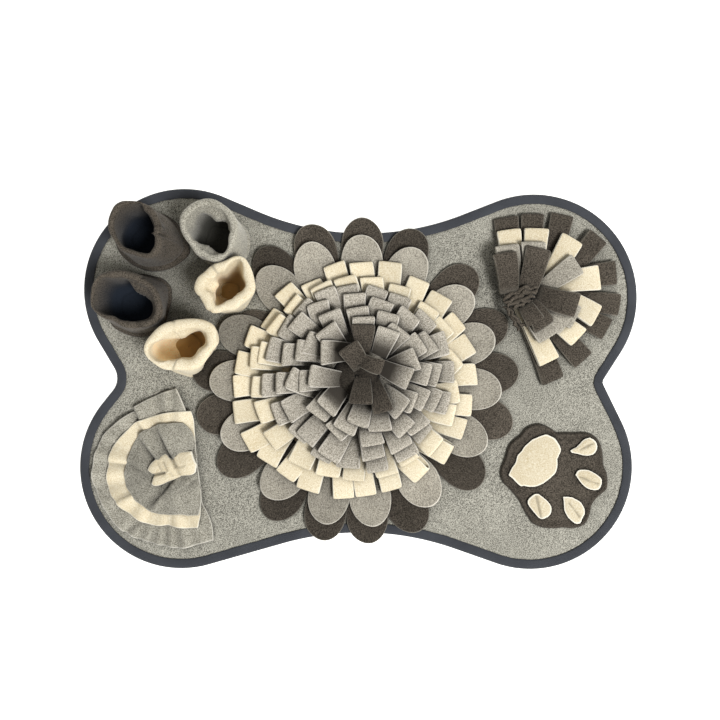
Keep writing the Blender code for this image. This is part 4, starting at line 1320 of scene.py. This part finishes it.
def pleat_step(x, y, pleat):
    """How much a pleat lifts and shades each point: a step across its line, with its end soft.

    off is the distance to the side that lies on top. It falls back to the cloth by e to the power
    of minus off by width. Painted shade lies below the step, and the ridge beside it is painted
    lighter.
    """
    start, end = np.array((pleat.x1, pleat.y1), float), np.array((pleat.x2, pleat.y2), float)
    length = np.linalg.norm(end - start)
    way = (end - start) / length
    run = (x - start[0]) * way[0] + (y - start[1]) * way[1]
    off = ((y - start[1]) * way[0] - (x - start[0]) * way[1]) * math.copysign(1, pleat.rise)
    within = step(run + 4, 2.5) * step(length + END_SOFT - run, END_SOFT)
    high = step(off - 0.6, PLEAT_SOFT) * np.exp(-np.clip(off, 0, None) / pleat.width)
    low = UNDER_SINK * (1 - step(off + 0.2, PLEAT_SOFT)) * np.exp(np.clip(off, None, 0) / UNDER_RUN)
    shade = bell(off + 1, np.where(off < -1, 6.0, 1.3)) * (0.25 + 0.9 * ramp(run, 0, length))
    shade = (shade - 0.2 * bell(off - 2.2, 1.2)) * min(1.0, abs(pleat.rise) / RISE_SHADED)
    return within * (high - low) * abs(pleat.rise), within * shade


print("a step of width 1 at 0, 2 and 4:", step(np.array((0, 2, 4)), 1).round(2))

# %% A pocket layer
RING_SHARES = np.concatenate((np.linspace(0.1, 0.93, 34), (0.965, 0.985, 1.0)))
RUFFLES = 7
RUFFLE = 6.0
PUCKERS = 4
PLEAT_SHADE = 0.75
FRONT_FALL = 0.1  # how steeply the front layer falls away to the left of its gather
WIDEST = 101  # the back layer's reach from the gather
DROOP, DROOP_RUN = 2.5, 40  # how layers droop past the gather, to the right


def ruffle_wave(ruffle, turn, radius, share, shift):
    """Where a ruffle shows, and its crest: a cosine of the distance round the layer's edge.

    It shows as e to the power of minus the fourth power of angle by span, and only near the edge.
    """
    off = off_angle(turn, ruffle.angle)
    run = np.radians(off) * radius.max(0)
    window = np.exp(-(off / ruffle.span) ** 4) * ramp(share, 0.45, 0.95) ** 1.3
    return window, np.cos(2 * math.pi * run / ruffle.period + 1.2 * np.sin(run / 19 + shift))


def pocket_layer(layer, number):
    """A layer's upper face and tone, as spokes out from the gather.

    Its waves are a cosine of the angle times the square of the radius. Ruffles, puckers and pleats
    are added to them, and the tone falls where the cloth is low, as painted shade. The front layer
    is painted darker round its gather, and most to the left of it.
    """
    random = np.random.default_rng(layer.seed)
    line = smooth(layer.outline, layer.corners)
    share = RING_SHARES[:, None] * np.ones(len(line))
    x, y = share * line[:, 0], share * line[:, 1]
    radius, angle = np.hypot(x, y), np.arctan2(y, x)
    turn = np.degrees(angle)
    wave = 0.5 - 0.5 * np.cos(RUFFLES * angle + 0.5 * np.sin(2 * angle))
    high = RUFFLE * wave * (radius / WIDEST) ** 2
    tone = 1 - 0.1 * (1 - wave) * share ** 2
    for ruffle in layer.ruffles:
        window, crest = ruffle_wave(ruffle, turn, radius, share, layer.seed)
        high = high + ruffle.height * window * crest
        tone = tone * (1 - 0.13 * window * (1 - crest) * min(1.0, ruffle.height / 1.8))
    for _ in range(PUCKERS):
        count, phase = random.integers(9, 21), random.uniform(0, 6.3)
        high = high + 0.5 * np.sin(count * angle + phase) * share ** 2
    for pleat in layer.pleats:
        lift, shade = pleat_step(x, y, pleat)
        high, tone = high + lift, tone * (1 - PLEAT_SHADE * shade)
    if number == BACK:
        tone = tone * (1 + 0.14 * bell(off_angle(turn, 175), 45))
    if number == FRONT:
        gather = bell(radius - 20, 9)
        high = high + 0.8 * np.cos(11 * angle + 1) * gather + FRONT_FALL * (x + 55) * (1 - share ** 3)
        # painted shade round the gather, and to its left
        tone = tone * (0.88 - 0.25 * bell(x + 46, 20) * bell(y + 2, 34)) * (1 - 0.3 * gather)
    high = high - DROOP * (np.clip(x, 0, None) / DROOP_RUN) ** 2
    height = ON_MAT + number * LAYER_STEP + PLY + np.clip(high, 0, None)
    return np.stack((POCKET_PLACE[0] + x, POCKET_PLACE[1] + y, height), -1)[::-1], tone[::-1]


print("the back layer's height, mm:", pocket_layer(LAYERS[0], BACK)[0][..., 2].max().round(1))

# %% The pocket's layers
for number, layer in enumerate(LAYERS):
    grid, tone = pocket_layer(layer, number)
    sew(f"{layer.node}_layer", [shell(grid, wrap_columns=True, tone=tone, edge=0.7)], layer.cloth,
        [layer.node])

# %% [markdown]
# ## The bow
# One strip of cream fleece is pinched at its middle over the pocket's gather. One end stands up as a
# wide loop, and the other falls as two tails. It could be sculpted by hand, but that can't be read
# or changed. So the bow is one puffed shape inside a smooth outline, where soft mounds make the
# loop, the knot and the tails, and creases part them. The creases are painted darker, as shade.

# %% The bow's shape
BOW_PLACE = np.array((-232.0, -108.7))
BOW_FOOT = ON_MAT + 2 * LAYER_STEP + PLY + 8.0
BOW_OUTLINE = (
    (33, 5.7), (29.5, 13), (26.5, 22), (17, 21.5), (9.5, 20), (5.2, 16.5), (2.7, 12.8), (-0.4, 14),
    (-3.8, 17.8), (-7.6, 18.2), (-14, 14.2), (-19, 11.4), (-24.6, 5.6), (-28, -1), (-24.6, -4.2),
    (-19.6, -7.2), (-21, -12), (-23, -18.6), (-19, -21), (-10.4, -19.4), (0, -14.6), (9.4, -11.8),
    (13.6, -8.5), (27.4, -6.8), (31.4, -3.8))
BOW_CORNERS = (0, 2, 6, 13, 15, 17, 22, 24)
Mound = namedtuple("Mound", "x y reach_x reach_y rise")
MOUNDS = (Mound(21, 7, 13, 13, 4.5), Mound(-1, 3, 9, 12, 4.0), Mound(-2, -8, 10, 8, 2.5),
          Mound(-17, 3, 10, 8, 3.0), Mound(-15, -14, 11, 6, 2.5))
Crease = namedtuple("Crease", "x1 y1 x2 y2 depth width")
CREASES = (
    Crease(2.8, 13, 7.2, 3.9, 3.2, 2.2), Crease(11, 2.4, 18, 4.6, 1.2, 1.6),
    Crease(-14.8, 8.2, -9.9, -2.5, 1.3, 1.3), Crease(-19.8, -7, -6, -4, 3.2, 1.6),
    Crease(-8, 9, -2.5, -0.8, 1.5, 1.5), Crease(1, -3.8, 4, -8, 1.2, 1.6),
    Crease(8, 2, 11.5, -6, 1.6, 2.4))
BOW_SHARES = np.concatenate((np.linspace(0.05, 0.85, 20), (0.9, 0.94, 0.97, 0.99, 1.0)))
print("mounds and creases in the bow:", len(MOUNDS), len(CREASES))


# %% Cushions and creases
def from_segment(x, y, x1, y1, x2, y2):
    """The distance of each point from a segment: to the point on it at the clipped share along it."""
    along_x, along_y = x2 - x1, y2 - y1
    share = np.clip(((x - x1) * along_x + (y - y1) * along_y) / (along_x ** 2 + along_y ** 2), 0, 1)
    return np.hypot(x - x1 - share * along_x, y - y1 - share * along_y)


def rimmed(upper, lower, shares, width, tone):
    """A closed cushion of an upper and a lower star grid.

    Its rim takes the cut edge's paler colour, a painted highlight. The rim begins where the share of
    the way out is 1 less the width.
    """
    cloth = solid_of(upper, lower)
    share = np.repeat(shares, upper.shape[1])
    share = np.concatenate((share, share[::-1], (0.0, 0.0)))
    cloth.weave[:, 2] = ramp(share, 1 - width, 1 - 0.3 * width)
    cloth.tone[:, 0] = np.concatenate((tone.ravel(), np.ones(tone.size), (tone[0].mean(), 1.0)))
    return cloth


print("3 across and 4 along from a crease's end, mm:", from_segment(3.0, 4.0, -5, 0, 0, 0))

# %% The bow
BOW_RIM = 0.05
BOW_ROLL = 2.0  # how far its edge rolls down
BOW_SINK = 2.5  # how far its underside sinks into the gather
BOW_TONE = 0.88
BOW_CREASE_SHADE = 0.15  # painted shade in a crease, for each mm of its depth

line = smooth(BOW_OUTLINE, BOW_CORNERS, 1.2)
x, y = BOW_SHARES[:, None] * line[:, 0], BOW_SHARES[:, None] * line[:, 1]
high, tone = np.zeros_like(x), np.full_like(x, BOW_TONE)
for mound in MOUNDS:
    high += mound.rise * bell(x - mound.x, mound.reach_x) * bell(y - mound.y, mound.reach_y)
for crease in CREASES:
    away = from_segment(x, y, crease.x1, crease.y1, crease.x2, crease.y2)
    high -= crease.depth * bell(away, crease.width)
    tone *= 1 - BOW_CREASE_SHADE * crease.depth * bell(away, crease.width * 0.8)
high = np.clip(high, -1.0, None) - BOW_ROLL * BOW_SHARES[:, None] ** 12
upper = np.stack((BOW_PLACE[0] + x, BOW_PLACE[1] + y, BOW_FOOT + PLY + high), -1)
lower = upper.copy()
lower[..., 2] = BOW_FOOT - BOW_SINK
sew("pocket_bow_strip", [rimmed(upper, lower, BOW_SHARES, BOW_RIM, tone)], CREAM,
    ["pocket_bow"])

# %% [markdown]
# ## The paw patch
# A charcoal patch is sewn on flat with its edge turned under, which makes a low round welt. On it
# are a pad and four toes, cut from cream fleece and sewn along the middle, so each toe has a crease.
# A flat curve with a bevel would give such pieces one even edge. Spokes from the middle to a smooth
# outline let the height follow the distance from the edge, so the welt can swell and sink. The cut
# edges are painted pale all round, a painted highlight, and a painted shadow darkens the patch
# beside them. The patch is also painted darker at its edge and in the welt's valley, as shade.

# %% Patch and toes
PAW_COVER = (
    (209, -61), (204, -68), (196, -74), (189, -82), (186, -92), (183, -101), (179, -111), (179, -121),
    (183, -129), (191, -137), (197, -144), (203, -152), (208, -162), (214, -172), (220, -180),
    (232, -185), (245, -186), (258, -185), (269, -186), (281, -183), (288, -177), (292, -167),
    (294, -157), (299, -149), (307, -142), (313, -136), (314, -126), (313, -116), (309, -106),
    (308, -93), (306, -82), (302, -74), (295, -68), (286, -65), (271, -65), (258, -65), (250, -65),
    (243, -60), (235, -56), (227, -54), (217, -56))
Cut = namedtuple("Cut", "rim pale strip")  # where the edge's colour and the pale tone, both a painted highlight, begin
PAD, TOE = Cut(0.07, 0.95, 60), Cut(0.16, 0.91, 22)
PawPiece = namedtuple("PawPiece", "name cut outline corners crease")  # crease: x1 y1 x2 y2, or None
PAW_PIECES = (
    PawPiece("paw_pad", PAD, (
        (230, -69), (222, -72), (216, -76), (210, -81), (205, -88), (200, -94), (198, -101),
        (196, -105), (192, -111), (189, -118), (194, -123), (198, -127), (204, -132), (208, -131.5),
        (216, -133), (224, -132), (231, -129), (237, -125), (242, -121), (246, -117), (249, -111),
        (250, -103), (249.5, -98), (252, -93), (254, -87), (252, -80), (249, -75), (244, -71),
        (237, -67.5)), (9, 22), None),
    PawPiece("paw_toe_1", TOE, (
        (283, -74), (278, -79), (274, -83), (270, -85), (266, -87.5), (268, -90), (275, -91.5),
        (283, -93.5), (290, -93.5), (296, -91), (299.5, -85), (299, -79), (296, -74.5), (290, -71.5)),
        (4,), (278, -86, 295, -78)),
    PawPiece("paw_toe_2", TOE, (
        (274, -120), (278, -126), (283, -131.5), (288, -135), (296, -137), (302, -135.5), (305, -130),
        (305, -123.5), (301, -119), (294, -114.5), (288, -112), (280, -111.5), (275.5, -113),
        (272.5, -118)), (13,), (277, -120, 300, -129)),
    PawPiece("paw_toe_3", TOE, (
        (218, -144.5), (213.5, -149), (213, -154), (217, -160.5), (222, -166.5), (227, -172),
        (232, -173), (239, -169.5), (242, -164), (242, -157.5), (237, -150.5), (231, -145.5),
        (226, -142), (222, -142)), (), (223, -145, 229, -171)),
    PawPiece("paw_toe_4", TOE, (
        (258, -153), (258.5, -161), (261.5, -168.5), (267, -175), (273, -179), (278.5, -178),
        (281, -172.5), (284, -166), (283, -159), (278.5, -152), (271, -147.5), (265, -145.5),
        (257, -145.5)), (12,), (264, -153, 277, -170)),
)
COVER_THICK = 3.0
print("pieces on the patch:", [shape.name for shape in PAW_PIECES])


# %% Grids that fill an outline
def filled(outline, corners, shares, spacing):
    """A star-shaped grid: an outline shrunk about its middle by shares, and its spokes' lengths."""
    line = smooth(outline, corners, spacing)
    middle = line.mean(0)
    return middle + (line - middle)[None] * shares[:, None, None], np.linalg.norm(line - middle, axis=1)


print("the patch's spokes, mm:", filled(PAW_COVER, (), np.ones(1), 2.5)[1].round()[::20])

# %% The patch
PATCH_SHARES = np.concatenate((np.linspace(0.05, 0.8, 22), (0.84, 0.88, 0.91, 0.94, 0.96, 0.98, 0.99, 1.0)))
WELT, SHOULDER = 1.6, 2.6
# painted shadow of the pad and toes on the patch, round their outlines
PIECE_SHADOW = 0.65
COVER_TOP = ON_MAT + COVER_THICK + 0.2
TURNED_UNDER = 1e-6  # a rim of next to no width, as its cut edge doesn't show

spots, reach = filled(PAW_COVER, (), PATCH_SHARES, 2.5)
from_edge = reach[None] * (1 - PATCH_SHARES[:, None])
run = np.linspace(0, 400, len(reach))
upper_left = bell(spots[..., 0] - 190, 26) * bell(spots[..., 1] + 78, 34)
rise = WELT * bell(from_edge - 3, 2.6) - 0.7 * bell(from_edge - 8, 2.2)
rise += 0.6 * waves(run, 40, 13) * bell(from_edge - 6, 8)
rise += 1.5 * bell(from_edge - 12, 2.2) * upper_left - SHOULDER * (1 - ramp(from_edge, 0, 2.6)) ** 2
# painted shade: the patch is darker at its edge and in the welt's valley
tone = 1 - 0.3 * bell(from_edge, 3) - 0.18 * bell(from_edge - 8, 2)
for shape in PAW_PIECES:
    ring = smooth(shape.outline, shape.corners, 2.5)
    away = np.linalg.norm(spots[:, :, None] - ring[None, None], axis=-1).min(-1)
    tone = tone * (1 - PIECE_SHADOW * bell(away, 2.2))
upper = np.concatenate((spots, (COVER_TOP + rise)[..., None]), -1)
lower = np.concatenate((spots, np.full_like(rise, ON_MAT)[..., None]), -1)
lower[-1, :, 2] = ON_MAT + 0.3
sew("paw_cover_patch", [rimmed(upper, lower, PATCH_SHARES, TURNED_UNDER, tone)], CHARCOAL,
    ["paw_cover"])

# %% A pad or toe
TOE_SHARES = np.concatenate((np.linspace(0.06, 0.8, 14), (0.86, 0.9, 0.93, 0.96, 0.985, 1.0)))
TOE_FOOT = ON_MAT + COVER_THICK
TOE_TOP = TOE_FOOT + 0.4 + PLY
TOE_LOW = TOE_FOOT + 0.5
TOE_DOME = 1.3
TOE_CREASE = 1.2
RAGGED = 0.012  # how much its cut edge strays, as a share of its size
# the pieces' own tone, and a painted highlight on a piece's cut edge
TOE_TONE, EDGE_HIGHLIGHT = 0.84, 0.14


def toe(shape, seed):
    """A pad or toe: domed by the cube of its share, with a soft crease and a slightly ragged edge.

    The crease is painted darker, as shade, and the edge paler, a painted highlight.
    """
    spots, reach = filled(shape.outline, shape.corners, TOE_SHARES, 1.2)
    ragged = 1 + RAGGED * waves(np.linspace(0, 150, len(reach)), 11, seed)
    middle = spots.mean((0, 1))
    spots = middle + (spots - middle) * ragged[None, :, None]
    share = TOE_SHARES[:, None] * np.ones(len(reach))
    height = TOE_TOP + TOE_DOME * (1 - share ** 3)
    tone = TOE_TONE + EDGE_HIGHLIGHT * (share > shape.cut.pale)
    if shape.crease:
        away = from_segment(spots[..., 0], spots[..., 1], *shape.crease)
        away = away + 0.5 * np.sin(spots[..., 0] / 3 + seed)
        height = height - TOE_CREASE * bell(away, 1.5)
        # painted shade along the crease
        tone = tone - 0.1 * bell(away, 2.4) - 0.26 * bell(away, 0.7)
    return np.concatenate((spots, height[..., None]), -1), tone


print("a toe's grid:", toe(PAW_PIECES[1], 41)[0].shape)

# %% Pad and toes
for number, shape in enumerate(PAW_PIECES):
    upper, tone = toe(shape, 40 + number)
    lower = upper.copy()
    lower[..., 2] = TOE_LOW
    sew(f"{shape.name}_cut", [rimmed(upper, lower, TOE_SHARES, shape.cut.rim, tone)], CREAM,
        [shape.name])
